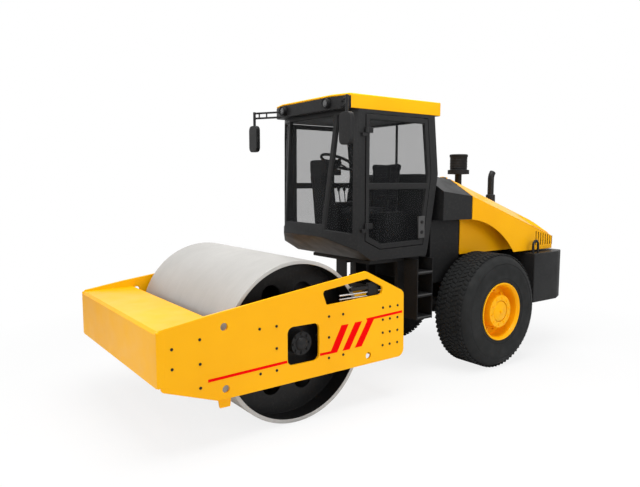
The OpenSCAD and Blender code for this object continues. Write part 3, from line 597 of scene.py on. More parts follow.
SLOT_FINISH = {"drum_steel": "steel", "yellow_paint": "yellow", "dark_paint": "dark", "black_paint": "black",
               "polished_steel": "bright", "engine_iron": "iron", "rubber": "rubber", "tyre": "tyre",
               "glass": "glass", "lamp_glass": "lamp", "black_plastic": "plastic", "seat_cover": "cloth"}


class ROLLER_OT_finishes(bpy.types.Operator):
    """Makes the finishes and puts them on the carried-over nodes"""

    bl_idname = "roller.finishes"
    bl_label = "Finishes"

    def execute(self, context):
        make_finishes()
        for entry in FRAME["record"]["subparts"]:
            materials = NODES[entry["node"]].data.materials
            materials.clear()
            materials.append(FINISHES[SLOT_FINISH[entry["material_slot"]]])
        return {"FINISHED"}


# Body, slot and edge rounding of each node that is rounded
ROUNDED = {
    "side_plate_left": ("front", "yellow_paint", 0.004), "side_plate_right": ("front", "yellow_paint", 0.004),
    "bumper": ("front", "yellow_paint", 0.004), "rear_beam": ("front", "yellow_paint", 0.004),
    "hood": ("hood", "yellow_paint", 0.004), "roof": ("rear", "yellow_paint", 0.012),
    "roof_header": ("rear", "dark_paint", 0.006), "cowl": ("rear", "dark_paint", 0.006),
    "cab_frame": ("rear", "dark_paint", 0.004), "door_left": ("door_left", "dark_paint", 0.003),
    "door_right": ("door_right", "dark_paint", 0.003), "counterweight": ("rear", "dark_paint", 0.012),
    "tanks": ("rear", "dark_paint", 0.01), "rim_left": ("wheel_left", "yellow_paint", 0.003),
    "rim_right": ("wheel_right", "yellow_paint", 0.003), "mirrors": ("rear", "black_paint", 0.005),
    "steps": ("rear", "black_paint", 0.002), "yoke": ("yoke", "dark_paint", 0.004),
}
LOCK_X, LOCK_Z = CAB_LOW.x + 0.276, CAB_LOW.z + 0.350
LOCK_HALF_X, LOCK_HALF_Z = 0.052, 0.132
BUTTON_Z, BUTTON_HALF = 0.06, 0.03
DOOR_FACE = corners_of("door_left")[1].y - 0.036


class ROLLER_OT_rounded_shapes(bpy.types.Operator):
    """Rounds the edges of the main plates, castings and panels"""

    bl_idname = "roller.rounded_shapes"
    bl_label = "Rounded shapes"

    def execute(self, context):
        for node, (body, slot, width) in ROUNDED.items():
            piece = softened(node, SLOT_FINISH[slot], body, slot, width)
            if node.startswith("door"):
                self.lock_plate(piece)
            if node == "roof":
                self.roof_lining(piece)
        return {"FINISHED"}

    def lock_plate(self, piece):
        """Paints a door's lock plate grey and its two buttons black."""
        paint_faces(piece, "grey", lambda c: abs(c.x - LOCK_X) < LOCK_HALF_X and abs(c.z - LOCK_Z) < LOCK_HALF_Z
                    and abs(c.y) > DOOR_FACE + 0.003)
        paint_faces(piece, "black", lambda c: abs(c.y) > DOOR_FACE + 0.015 and abs(c.x - LOCK_X) < BUTTON_HALF
                    and abs(abs(c.z - LOCK_Z) - BUTTON_Z) < BUTTON_HALF)

    def roof_lining(self, piece):
        """Paints the roof's underside and its edge above the header dark."""
        low, high = corners_of("roof_header")
        paint_faces(piece, "dark", lambda c: c.z < low.z + 0.004 or c.x > low.x - 0.01 and c.z < high.z - 0.01)


class ROLLER_OT_drum(bpy.types.Operator):
    """Rounds the drum's edges, paints its recessed ends black (their own dark paint plus painted shade of the
    deep recess) and bolts the bearing hubs
    """

    bl_idname = "roller.drum"
    bl_label = "Drum"

    wall, hub_recess, hub_ring = 0.03, 0.195, 0.235

    def execute(self, context):
        piece = softened("drum", "steel", "drum", "drum_steel", 0.004)
        inside = (DRUM_HIGH.z - DRUM_LOW.z) / 2 - self.wall
        end = DRUM_HIGH.y - 0.006
        # The recess inside the shell wall goes black: the ends' own dark paint, and painted shade on the inner
        # shell.
        paint_faces(piece, "black",
                    lambda c: math.hypot(c.x - DRUM_X, c.z - DRUM_Z) < inside and abs(c.y) < end)
        bolts = bolt_ring(make_bolt("hub_bolt", 0.036, 0.016), (DRUM_X, DRUM_HIGH.y - self.hub_recess, DRUM_Z),
                          self.hub_ring, 16)
        both_sides([bolts], "drum_hub_bolts_{}", "black", "drum", "drum_steel")
        return {"FINISHED"}


# Places on a side plate: along from the drum's axle, and height above the ground
PLATE_BOLTS = [(1.07, 1.014), (1.07, 0.80), (1.07, 0.59), (1.32, 0.80), (1.32, 0.97), (0.485, 1.02),
               (0.305, 1.02), (0.305, 0.81), (0.305, 0.60), (0.48, 0.60), (-0.30, 1.03), (-0.30, 0.82),
               (-0.30, 0.612), (-0.476, 1.03), (-0.48, 0.615)]
PLATE_BOLTS += [(x, z) for x in (-1.01, -1.11, -1.22) for z in (1.03, 0.90, 0.76, 0.625)]
STRIPES = [
    [(1.0, 0.624), (1.0, 0.650), (0.19, 0.675), (0.19, 0.649)],
    [(-0.19, 0.651), (-0.19, 0.677), (-0.324, 0.677), (-0.31, 0.651)],
    [(-0.31, 0.651), (-0.402, 0.651), (-0.548, 0.92), (-0.456, 0.92)],
    [(-0.47, 0.655), (-0.562, 0.655), (-0.724, 0.925), (-0.632, 0.925)],
    [(-0.63, 0.66), (-0.722, 0.66), (-0.885, 0.923), (-0.793, 0.919)],
    [(-0.793, 0.919), (-0.777, 0.945), (-1.29, 0.967), (-1.29, 0.941)],
]


class ROLLER_OT_plate_bolts(bpy.types.Operator):
    """Sets the bolts of the drum carriers and the frame into both side plates"""

    bl_idname = "roller.plate_bolts"
    bl_label = "Plate bolts"

    def execute(self, context):
        bolt = make_bolt("plate_bolt", sizes().bolt, sizes().bolt * 0.42)
        places = [Matrix.Translation((DRUM_X + x, PLATE_FACE, z)) @ Matrix.Rotation(0.7 * i, 4, "Y")
                  for i, (x, z) in enumerate(PLATE_BOLTS)]
        both_sides([stamped(bolt, "plate_bolts", places)], "plate_bolts_{}", "black", "front", "polished_steel")
        return {"FINISHED"}


class ROLLER_OT_stripes(bpy.types.Operator):
    """Lays the red stripes on both side plates"""

    bl_idname = "roller.stripes"
    bl_label = "Red stripes"

    sunk, thick = 0.0004, 0.0012

    def execute(self, context):
        y = PLATE_FACE - self.sunk
        bands = [make_prism("stripe", [(DRUM_X + x, y, z) for x, z in outline], (0, self.thick, 0))
                 for outline in STRIPES]
        both_sides(bands, "stripes_{}", "stripe", "front", "yellow_paint")
        return {"FINISHED"}


class ROLLER_OT_tyres(bpy.types.Operator):
    """Models the tyres: carcass with sidewall ribs and rows of slanted tread blocks"""

    bl_idname = "roller.tyres"
    bl_label = "Tyres"

    row_step, row_wide, edge_row_wide = 0.084, 0.074, 0.066
    block_half_x, block_half_y, block_root = 0.022, 0.036, 0.003
    slant = math.radians(24)

    def execute(self, context):
        parts = [self.carcass(), self.tread()]
        both_sides(parts, "tyre_{}_tread", "tyre", "wheel_{}", "tyre", "tyre_{}")
        return {"FINISHED"}

    def groove(self):
        """The radius at the foot of the tread blocks."""
        return (TYRE_HIGH.z - TYRE_LOW.z) / 2 - sizes().tread

    def carcass(self):
        radius, half = (TYRE_HIGH.z - TYRE_LOW.z) / 2, (TYRE_HIGH.y - TYRE_LOW.y) / 2
        rim_low, rim_high = corners_of("rim_left")
        bead = (rim_high.z - rim_low.z) / 2 - 0.022
        side = [(bead, half - 0.030), (bead + 0.03, half - 0.012), (bead + 0.062, half - 0.006),
                (bead + 0.066, half - 0.010), (bead + 0.074, half - 0.010), (bead + 0.078, half - 0.004),
                (bead + 0.13, half - 0.001), (radius - 0.18, half), (radius - 0.135, half - 0.002),
                (radius - 0.128, half - 0.008), (radius - 0.121, half - 0.008), (radius - 0.114, half - 0.004),
                (radius - 0.075, half - 0.016), (radius - 0.05, half - 0.036), (radius - 0.032, half - 0.062),
                (self.groove() - 0.003, half - 0.085)]
        profile = side + [(self.groove(), 0.0)] + [(r, -a) for r, a in reversed(side)]
        return make_turned("tyre_carcass", profile, (AXLE_X, TYRE_Y, AXLE_Z), (0, 1, 0), 96)

    def tread(self):
        x, y, top = self.block_half_x, self.block_half_y, sizes().tread + self.block_root
        block = make_box("tread_block", (-x, -y, 0.0), (x, y, top), 0)
        edit(block)
        pick(block, lambda c, n: n.z > 0.9)
        bpy.ops.transform.resize(value=(0.86, 0.94, 1))
        bpy.ops.mesh.bevel(offset=0.002, segments=1, affect="EDGES")
        bpy.ops.object.mode_set(mode="OBJECT")
        lift = Matrix.Translation((0, 0, self.groove() - self.block_root))
        places = []
        for row in range(-2, 3):
            odd = row % 2
            wide = self.edge_row_wide if abs(row) == 2 else self.row_wide
            middle = Matrix.Translation((AXLE_X, TYRE_Y + row * self.row_step, AXLE_Z))
            shape = Matrix.Rotation(self.slant if odd else -self.slant, 4, "Z")
            shape = shape @ Matrix.Diagonal((1, wide / self.row_wide, 1, 1))
            for i in range(sizes().pitches):
                turn = Matrix.Rotation(math.tau * (i + 0.5 * odd) / sizes().pitches, 4, "Y")
                places.append(middle @ turn @ lift @ shape)
        return stamped(block, "tread_blocks", places)


class ROLLER_OT_wheel_trim(bpy.types.Operator):
    """Adds hub covers, wheel nuts and valves to both rims"""

    bl_idname = "roller.wheel_trim"
    bl_label = "Wheel trim"

    dish_depth, hub_height = 0.190, 0.160
    nut_ring, cover_ring, valve_x, valve_z = 0.262, 0.168, 0.285, 0.02
    cover = [(0.0, 0.012), (0.06, 0.012), (0.075, 0.006), (0.118, 0.002), (0.128, -0.008), (0.128, -0.046),
             (0.0, -0.046)]

    def execute(self, context):
        dish = Vector((AXLE_X, TYRE_HIGH.y - self.dish_depth, AXLE_Z))
        hub = dish + Vector((0, self.hub_height, 0))
        nuts = bolt_ring(make_bolt("wheel_nut", 0.040, 0.026), dish, self.nut_ring, 12, 0.5)
        ring = bolt_ring(make_bolt("cover_bolt", 0.022, 0.011), hub, self.cover_ring, 10, 0.25)
        cover = make_turned("hub_cover", self.cover, hub, (0, 1, 0), 48)
        plug = make_bolt("hub_plug", 0.045, 0.02)
        plug.data.transform(Matrix.Translation(hub + Vector((0, 0.010, 0))))
        foot = dish + Vector((self.valve_x, -0.002, self.valve_z))
        valve = make_rod("tyre_valve", foot, foot + Vector((0, 0.052, 0)), 0.014, 0.002, 12)
        both_sides([nuts, ring, cover, plug], "wheel_trim_{}", "yellow", "wheel_{}", "yellow_paint")
        both_sides([valve], "tyre_valve_{}", "rubber", "wheel_{}", "rubber")
        return {"FINISHED"}


GLASS_BODIES = {"cab_panes": "rear", "door_left_glass": "door_left", "door_right_glass": "door_right"}


class ROLLER_OT_panes(bpy.types.Operator):
    """Stands flat panes in for the glass nodes"""

    bl_idname = "roller.panes"
    bl_label = "Panes"

    def execute(self, context):
        for node, body in GLASS_BODIES.items():
            placed(node_copy(node, node + "_flat", merge=False), "glass", body, "glass", node, angle=15.0)
        return {"FINISHED"}


def outer_area(face):
    """The area of a face that looks away from the cab's middle, or 0."""
    return face.area * (face.normal.dot(face.center - Vector((CAB_MID_X, 0, face.center.z))) > 0)


def pane_outlines(node):
    """The outer outline and normal of each pane in a glass node."""
    only(node_copy(node, node + "_outline"))
    bpy.ops.mesh.separate(type="LOOSE")
    found = []
    for part in list(bpy.context.selected_objects):
        normal = max(part.data.polygons, key=outer_area).normal.copy()
        keys = [key for face in part.data.polygons if face.normal.dot(normal) > 0.9 for key in face.edge_keys]
        after = {}
        for start, end in keys:
            if keys.count((start, end)) == 1:
                after.setdefault(start, []).append(end)
                after.setdefault(end, []).append(start)
        walk, step = [], [next(iter(after))]
        while step:
            walk.append(step[0])
            step = [v for v in after[walk[-1]] if v not in walk]
        found.append(([part.data.vertices[i].co.copy() for i in walk], normal))
        bpy.data.objects.remove(part)
    return found


class ROLLER_OT_gaskets(bpy.types.Operator):
    """Seats every pane in a rubber gasket"""

    bl_idname = "roller.gaskets"
    bl_label = "Window gaskets"

    bead_d, outer, inner = 0.013, 0.002, -0.008

    def execute(self, context):
        for node, body in GLASS_BODIES.items():
            beads = [make_pipe("bead", [p + normal * push for p in points], self.bead_d, 2, closed=True)
                     for points, normal in pane_outlines(node) for push in (self.outer, self.inner)]
            placed(joined(node + "_gaskets", beads), "rubber", body, "rubber")
        return {"FINISHED"}


PAD_SWELL = 0.022
PAD_SHRINK = 0.97
PAD_FRAMES = 20


def inflated(node, name):
    """A cushion blown up from a CAD solid by a cloth simulation, no point moving further than the swell."""
    piece = node_copy(node, name)
    centre = sum(corners_of(node), Vector()) / 2
    piece.data.transform(Matrix.Translation(centre) @ Matrix.Scale(PAD_SHRINK, 4) @ Matrix.Translation(-centre))
    piece.data.remesh_voxel_size = 0.006
    only(piece)
    bpy.ops.object.voxel_remesh()
    rest = [v.co.copy() for v in piece.data.vertices]
    cloth = piece.modifiers.new("stuffing", "CLOTH")
    cloth.settings.use_pressure = True
    cloth.settings.uniform_pressure_force = 4.0
    cloth.settings.effector_weights.gravity = 0.0
    cloth.settings.tension_stiffness = 12.0
    cloth.settings.bending_stiffness = 0.8
    cloth.point_cache.frame_start = 1
    cloth.point_cache.frame_end = PAD_FRAMES
    for frame in range(1, PAD_FRAMES + 1):
        bpy.context.scene.frame_set(frame)
    apply_modifiers(piece)
    bpy.context.scene.frame_set(1)
    for vertex, start in zip(piece.data.vertices, rest):
        move = vertex.co - start
        if move.length > PAD_SWELL:
            vertex.co = start + move * (PAD_SWELL / move.length)
    return piece


def sewn(piece, depth, width, inward, seam, places):
    """Presses a sewn channel into a cushion at each place. seam(point, place) is the distance, or None."""
    for vertex in piece.data.vertices:
        for place in places:
            away = seam(vertex.co, place)
            if away is not None and abs(away) < width:
                push = depth * (0.5 + 0.5 * math.cos(math.pi * abs(away) / width))
                vertex.co += Vector(inward(vertex.co)) * push


class ROLLER_OT_seat(bpy.types.Operator):
    """Stuffs the seat's cushion and back, with sewn channels, and adds armrests"""

    bl_idname = "roller.seat"
    bl_label = "Operator's seat"

    cushion_seam, cross_seam, back_seam, back_rows = 0.15, 0.30, 0.14, (0.18, 0.34, 0.5)
    arm_y, stay_y = 0.285, 0.262

    def execute(self, context):
        cushion, back = self.cushion(), self.back()
        for piece, node in ((cushion, "seat_cushion"), (back, "seat_back")):
            mod = piece.modifiers.new("fine", "SUBSURF")
            mod.levels = mod.render_levels = 1
            apply_modifiers(piece)
            placed(piece, "cloth", "rear", "seat_cover", node, angle=180.0)
        self.armrests()
        return {"FINISHED"}

    def cushion(self):
        piece = inflated("seat_cushion", "seat_cushion_pad")
        low, high = corners_of("seat_cushion")
        top, edge, cross = (low.z + high.z) / 2, self.cushion_seam, low.x + self.cross_seam
        sewn(piece, 0.012, 0.02, lambda c: (0, 0, -1),
             lambda c, y: c.y - y if c.z > top else None, (-edge, edge))
        sewn(piece, 0.010, 0.018, lambda c: (0, 0, -1),
             lambda c, x: c.x - x if c.z > top and abs(c.y) < edge else None, (cross,))
        return piece

    def back(self):
        piece = inflated("seat_back", "seat_back_pad")
        low, high = corners_of("seat_back")
        front, edge = (low.x + high.x) / 2, self.back_seam
        sewn(piece, 0.010, 0.02, lambda c: (-1 if c.x > front else 1, 0, 0),
             lambda c, y: c.y - y, (-edge, edge))
        sewn(piece, 0.009, 0.016, lambda c: (-1 if c.x > front else 0, 0, 0),
             lambda c, h: c.z - (low.z + h) if abs(c.y) < edge else None, self.back_rows)
        return piece

    def armrests(self):
        low, high = corners_of("seat_cushion")
        foot = corners_of("seat_back")[0].z + 0.14
        arms = []
        for sign in (1, -1):
            arm, stay = sign * self.arm_y, sign * self.stay_y
            arms.append(make_box("arm", (low.x, arm - 0.03, high.z + 0.115),
                                 (low.x + 0.30, arm + 0.03, high.z + 0.165), 0.016, 3))
            arms.append(make_box("arm_stay", (low.x - 0.03, stay - 0.012, foot),
                                 (low.x + 0.05, stay + 0.012, high.z + 0.14), 0.006))
        placed(joined("seat_armrests", arms), "plastic", "rear", "black_plastic")


class ROLLER_OT_cab_trim(bpy.types.Operator):
    """Adds the column's visor and gauges, consoles, levers, rear window post and floor mat"""

    bl_idname = "roller.cab_trim"
    bl_label = "Cab trim"

    console_back, console_side, console_high, console_low = -0.34, 0.52, 0.52, 0.42
    levers = [(-0.02, -0.42, 0.03), (-0.12, -0.44, 0.02), (-0.04, 0.43, 0.02)]
    knob = [(0.0, 0.06), (0.014, 0.055), (0.022, 0.04), (0.02, 0.015), (0.009, 0.0), (0.0, 0.0)]
    dial = [(0.0, 0.004), (0.026, 0.004), (0.028, 0.008), (0.034, 0.008), (0.036, -0.01), (0.0, -0.01)]
    dial_y = (-0.09, 0.0, 0.09)

    def execute(self, context):
        column = corners_of("steering_column")[1]
        floor = corners_of("cab_floor")[1].z
        self.controls(column, floor)
        gauges = [make_turned("gauge", self.dial, (column.x - 0.152, y, column.z - 0.05), (-1, 0, 0), 28)
                  for y in self.dial_y]
        placed(joined("gauges", gauges), "bright", "rear", "polished_steel")
        self.window_post()
        x = corners_of("steering_wheel")[0].x
        mat = make_box("floor_mat", (x - 0.25, -0.5, floor), (x + 0.42, 0.5, floor + 0.008), 0.003)
        placed(mat, "rubber", "rear", "rubber")
        return {"FINISHED"}

    def controls(self, column, floor):
        """The visor over the gauges, a console on each side of the seat, and levers with knobs."""
        back, side, tall, short = self.console_back, self.console_side, self.console_high, self.console_low
        boxes = [("visor", (column.x - 0.15, -0.16, column.z - 0.15), (column.x - 0.02, 0.16, column.z + 0.02)),
                 ("console", (back, -side, floor), (0.08, -0.33, floor + tall)),
                 ("console_near", (back, 0.35, floor), (0.04, side, floor + short))]
        inner = [make_box(name, low, high, 0.03, 3) for name, low, high in boxes]
        for x, y, lean in self.levers:
            foot = Vector((x, y, floor + (short if y > 0 else tall) - 0.01))
            inner.append(make_rod("lever", foot, foot + Vector((lean, 0, 0.16)), 0.014, 0.002, 12))
            inner.append(make_turned("lever_knob", self.knob, foot + Vector((lean, 0, 0.15)), (0, 0, 1), 20))
        placed(joined("cab_controls", inner), "plastic", "rear", "black_plastic")

    def window_post(self):
        """An upright bar inside the rear window."""
        opening = [p for points, normal in pane_outlines("cab_panes") if normal.x < -0.9 for p in points]
        x = sum(p.x for p in opening) / len(opening)
        heights = [p.z for p in opening]
        post = make_box("rear_window_post", (x + 0.004, 0.065, min(heights)),
                        (x + 0.022, 0.095, max(heights)), 0.003)
        placed(post, "black", "rear", "black_paint")


class ROLLER_OT_hood_trim(bpy.types.Operator):
    """Adds the hood's slatted panels and tail handle, and near-black sheets of painted shade behind the tail
    grille and the side louvres
    """

    bl_idname = "roller.hood_trim"
    bl_label = "Hood trim"

    crest_half, ridge_drop, crest_front_z, crest_tail_z = 0.42, 0.215, 2.385, 1.79
    panel_front, panel_tail, panel_top, panel_bottom, slats = 0.42, 0.03, 0.22, 0.86, 21
    louvres, louvre_start, louvre_run, louvre_half = 8, 1.18, 0.39, 0.014

    def execute(self, context):
        low, high = corners_of("hood")
        self.panels(low, high)
        handle = make_box("hood_tail_handle", (low.x - 0.022, -0.09, low.z + 0.272),
                          (low.x + 0.002, 0.09, low.z + 0.297), 0.008, 3)
        placed(handle, "black", "hood", "black_paint")
        # A near-black sheet just inside the tail grille: painted shade behind its openings.
        grille_shade = make_box("grille_shade_sheet", (low.x + 0.010, -0.43, low.z + 0.045),
                          (low.x + 0.014, 0.43, low.z + 0.255), 0.001)
        placed(grille_shade, "shadow", "hood", "black_paint")
        # Near-black sheets just inside the side louvres: painted shade in their openings.
        shade_sheets = []
        for y in (high.y - 0.013, 0.013 - high.y):
            for i in range(self.louvres):
                x = AXLE_X - self.louvre_start - self.louvre_run * i / (self.louvres - 1)
                shade_sheets.append(make_box("louvre", (x - self.louvre_half, y - 0.003, low.z + 0.055),
                                       (x + self.louvre_half, y + 0.003, low.z + 0.262 - 0.012 * i), 0.001))
        placed(joined("louvre_shade_sheets", shade_sheets), "shadow", "hood", "black_paint")
        return {"FINISHED"}

    def panels(self, low, high):
        """A framed panel of slats on each shoulder of the hood, near the tail."""
        front_x, tail_x = high.x - 0.02, low.x + 0.11
        slope = (self.crest_front_z - self.crest_tail_z) / (front_x - tail_x)

        def shoulder(along, share):
            """A point on the left shoulder, from the crest at 0 to the ridge at 1."""
            return Vector((tail_x + along, self.crest_half + (high.y - self.crest_half) * share,
                           self.crest_tail_z + slope * along - self.ridge_drop * share))

        front, tail = self.panel_front, self.panel_tail
        corners = [shoulder(front, self.panel_top), shoulder(tail, self.panel_top),
                   shoulder(tail, self.panel_bottom), shoulder(front, self.panel_bottom)]
        out = (corners[2] - corners[1]).cross(corners[0] - corners[1]).normalized()
        out = out if out.z > 0 else -out
        parts = [make_pipe("panel_edge", [p + out * 0.002 for p in corners], 0.012, 2, closed=True)]
        back = make_prism("panel_back", [p - out * 0.001 for p in corners], out * 0.003)
        for i in range(self.slats):
            share = (i + 0.5) / self.slats
            ends = [corners[0].lerp(corners[1], share), corners[3].lerp(corners[2], share)]
            parts.append(make_pipe("slat", [p + out * 0.003 for p in ends], 0.008, 2))
        both_sides(parts, "hood_panel_{}", "yellow", "hood", "yellow_paint")
        both_sides([back], "hood_panel_back_{}", "yellow", "hood", "yellow_paint")


class ROLLER_OT_stacks(bpy.types.Operator):
    """Models the ribbed pre-cleaner bowl and the open end of the exhaust"""

    bl_idname = "roller.stacks"
    bl_label = "Pre-cleaner and exhaust"

    ribs, rib_pitch, rib_in, rib_out = 7, 0.022, 0.1175, 0.1225
    pipe_d, pipe_wall, bend, bend_start, bend_angle, bend_steps = 0.092, 0.006, 0.16, 2.39, 40, 10

    def execute(self, context):
        self.precleaner()
        self.exhaust()
        return {"FINISHED"}

    def precleaner(self):
        low, high = corners_of("precleaner")
        x, foot, top = (low.x + high.x) / 2, low.z - 0.003, high.z
        body = [(0.0, foot), (0.0475, foot), (0.0475, top - 0.285), (0.150, top - 0.280), (0.150, top - 0.222),
                (0.118, top - 0.215)]
        for i in range(self.ribs):
            z = top - 0.200 + i * self.rib_pitch
            body += [(self.rib_in, z), (self.rib_out, z + 0.006), (self.rib_out, z + 0.012),
                     (self.rib_in, z + 0.018)]
        body += [(0.1275, top - 0.036), (0.1275, top - 0.006), (0.110, top), (0.03, top), (0.0, top - 0.002)]
        bowl = make_turned("precleaner_bowl", body, (x, 0, 0), (0, 0, 1), 64)
        nut = make_bolt("cap_nut", 0.036, 0.016)
        nut.data.transform(Matrix.Translation((x, 0, top - 0.016)) @ Matrix.Rotation(math.radians(90), 4, "X"))
        placed(joined("precleaner_shape", [bowl, nut]), "plastic", "hood", "black_plastic", "precleaner")

    def exhaust(self):
        low, high = corners_of("exhaust")
        x, bend = high.x - 0.095, self.bend
        path = [(x, 0, low.z + 0.01), (x, 0, self.bend_start - 0.2)]
        for i in range(self.bend_steps + 1):
            turn = math.radians(self.bend_angle * i / self.bend_steps)
            path.append((x - bend + bend * math.cos(turn), 0, self.bend_start + bend * math.sin(turn)))
        pipe = make_pipe("exhaust_pipe", path, self.pipe_d, 8)
        mouth = Vector(path[-1])
        edit(pipe)
        pick(pipe, lambda c, n: (c - mouth).length < 0.004)
        bpy.ops.mesh.inset(thickness=self.pipe_wall, depth=0)
        bpy.ops.mesh.inset(thickness=0.0, depth=-0.09)
        bpy.ops.object.mode_set(mode="OBJECT")
        foot = [(0.04, low.z), (0.095, low.z), (0.095, 1.968), (0.088, 1.980), (0.070, 1.984), (0.068, 2.15),
                (0.060, 2.162), (0.04, 2.164)]
        collar = make_turned("exhaust_collar", foot, (x, 0, 0), (0, 0, 1), 48)
        placed(joined("exhaust_shape", [pipe, collar]), "black", "hood", "black_paint", "exhaust")


class ROLLER_OT_step_grips(bpy.types.Operator):
    """Lays studded grips on the steps, and grey noses whose light grey is a painted highlight along the step
    edges
    """

    bl_idname = "roller.step_grips"
    bl_label = "Step grips"

    heights = (0.735, 1.005, 1.280)
    studs_x, studs_y, pitch_x, pitch_y = 7, 5, 0.032, 0.042

    def execute(self, context):
        low, high = corners_of("steps")
        stud = make_rod("stud", (0, 0, -0.001), (0, 0, 0.005), 0.022, 0, 10, far_d=0.014)
        places = [Matrix.Translation((low.x + 0.035 + self.pitch_x * i, high.y - 0.03 - self.pitch_y * j, z))
                  for z in self.heights for i in range(self.studs_x) for j in range(self.studs_y)]
        # Nose strips on the step edges; their light grey paints the highlight that the edges catch.
        highlight_noses = [make_box("nose", (low.x + 0.012, high.y - 0.010, z - 0.012),
                          (high.x - 0.012, high.y + 0.004, z + 0.003), 0.002) for z in self.heights]
        both_sides([stamped(stud, "studs", places)], "step_grips_{}", "black", "rear", "black_paint")
        both_sides(highlight_noses, "step_nose_highlights_{}", "grey", "rear", "polished_steel")
        return {"FINISHED"}


class ROLLER_OT_lamps_and_mirrors(bpy.types.Operator):
    """Adds lamp bezels, tail lamps and the mirrors' glass"""

    bl_idname = "roller.lamps_and_mirrors"
    bl_label = "Lamps and mirrors"

    tail_y, tail_z, tail_half_y, tail_half_z, tail_proud, lens_y = 0.66, 1.18, 0.12, 0.06, 0.022, 0.055
    tail_lens = [(0.0, 0.012), (0.03, 0.009), (0.043, 0.0), (0.043, -0.01), (0.0, -0.01)]
    mirror_half_y, mirror_half_z, mirror_corner = 0.078, 0.148, 0.048

    def execute(self, context):
        self.work_lamps()
        self.tail_lamps()
        self.mirror_panes()
        return {"FINISHED"}

    def work_lamps(self):
        low, high = corners_of("work_lamps")
        r, z, front = (high.z - low.z) / 2, (low.z + high.z) / 2, high.x
        shell = [(0.0, low.x), (r, low.x), (r, front - 0.012), (r + 0.004, front - 0.010),
                 (r + 0.004, front + 0.004), (r - 0.006, front + 0.006), (r - 0.008, front - 0.004),
                 (0.0, front - 0.004)]
        dome = [(0.0, front + 0.004), (0.025, front + 0.002), (r - 0.008, front - 0.003), (0.0, front - 0.0035)]
        shells, lenses = ([make_turned("lamp", profile, (0, y, z), (1, 0, 0), 48)
                           for y in (low.y + r, high.y - r)] for profile in (shell, dome))
        placed(joined("lamp_shells", shells), "plastic", "rear", "black_plastic", "work_lamps")
        placed(joined("lamp_lenses", lenses), "lamp", "rear", "lamp_glass")

    def tail_lamps(self):
        back, z = corners_of("counterweight")[0].x, self.tail_z
        face = back - self.tail_proud
        cases, lenses = [], []
        for y in (self.tail_y, -self.tail_y):
            cases.append(make_box("lamp_case", (face, y - self.tail_half_y, z - self.tail_half_z),
                                  (back + 0.01, y + self.tail_half_y, z + self.tail_half_z), 0.008, 3))
            for off in (-self.lens_y, self.lens_y):
                lenses.append(make_turned("tail_lens", self.tail_lens, (face, y + off, z), (-1, 0, 0), 32))
        placed(joined("tail_lamp_cases", cases), "plastic", "rear", "black_plastic")
        placed(joined("tail_lamp_lenses", lenses), "red_lens", "rear", "lamp_glass")

    def mirror_panes(self):
        low, high = corners_of("mirrors")
        y, z, corner = high.y - 0.095, low.z + 0.165, self.mirror_corner
        wide, tall = self.mirror_half_y - corner, self.mirror_half_z - corner
        rim = [(high.x - 0.0535, y + wide * a + corner * math.cos(t), z + tall * b + corner * math.sin(t))
               for a, b, start in ((1, 1, 0), (-1, 1, 90), (-1, -1, 180), (1, -1, 270))
               for t in (math.radians(start + 15 * i) for i in range(7))]
        pane = make_prism("mirror_pane", rim, (-0.004, 0, 0))
        panes = [pane, mirrored(pane, "mirror_pane_right")]
        placed(joined("mirror_panes", panes), "mirror", "rear", "polished_steel")


class ROLLER_OT_frame_fittings(bpy.types.Operator):
    """Adds the drum motors' bolts and caps, pipes behind the slots, bumper corners and counterweight bolts"""

    bl_idname = "roller.frame_fittings"
    bl_label = "Frame fittings"

    motor_ring = 0.092
    motor_cap = [(0.0, 0.02), (0.045, 0.02), (0.06, 0.012), (0.068, 0.0), (0.068, -0.006), (0.0, -0.006)]
    line_starts, line_end, line_d, line_bend = ((0.42, 1.205), (0.46, 1.165)), 1.16, 0.022, 0.03
    valve_x, valve_end, valve_half, valve_top = 0.65, 0.79, 0.02, 1.30
    motor_z, motor_end = 1.25, 1.02
    weight_bolts = [(y, z) for y in (-0.30, 0.30) for z in (0.82, 1.22)]

    def execute(self, context):
        centre = (DRUM_X, corners_of("carrier_left")[1].y, DRUM_Z)
        ring = bolt_ring(make_bolt("motor_bolt", 0.026, 0.012), centre, self.motor_ring, 8)
        cap = make_turned("motor_cap", self.motor_cap, centre, (0, 1, 0), 40)
        both_sides([ring, cap], "motor_trim_{}", "black", "front", "black_paint")
        self.vibration_gear()
        low, high = corners_of("bumper")
        edge = corners_of("side_plate_left")[1].x
        corner = make_box("bumper_corner", (edge - 0.06, high.y - 0.012, low.z + 0.002),
                          (high.x, PLATE_FACE + 0.001, high.z - 0.002), 0.013, 4)
        both_sides([corner], "bumper_corner_{}", "yellow", "front", "yellow_paint")
        tail, turn = corners_of("counterweight")[0].x, Matrix.Rotation(math.radians(90), 4, "Z")
        places = [Matrix.Translation((tail, y, z)) @ turn for y, z in self.weight_bolts]
        bolts = stamped(make_bolt("weight_bolt", 0.05, 0.024), "weight_bolts", places)
        placed(bolts, "zinc", "rear", "polished_steel")
        return {"FINISHED"}

    def vibration_gear(self):
        """Two pipes and a valve with its motor on the rear beam, behind each side plate's slot."""
        y, top = PLATE_FACE - 0.066, corners_of("rear_beam")[1].z
        bend, valve, end = self.line_bend, self.valve_x, self.valve_end
        paths = [[(x, y, top - 0.01), (x, y, z - bend), (x + bend, y, z), (self.line_end, y, z)]
                 for x, z in self.line_starts]
        lines = [make_pipe("line", path, self.line_d, 3) for path in paths]
        low, high = y - self.valve_half, y + self.valve_half
        axle = [(x, y, self.motor_z) for x in (end, self.motor_end)]
        parts = [make_box("valve_stay", (valve - 0.10, low, top - 0.002), (end, high, top + 0.012), 0.003),
                 make_box("valve_body", (valve, low, top + 0.01), (end, high, self.valve_top), 0.008, 3),
                 make_rod("valve_motor", *axle, 0.04, 0.004, 24)]
        both_sides(lines, "vibration_lines_{}", "bright", "front", "polished_steel")
        both_sides(parts, "vibration_valve_{}", "black", "front", "black_paint")


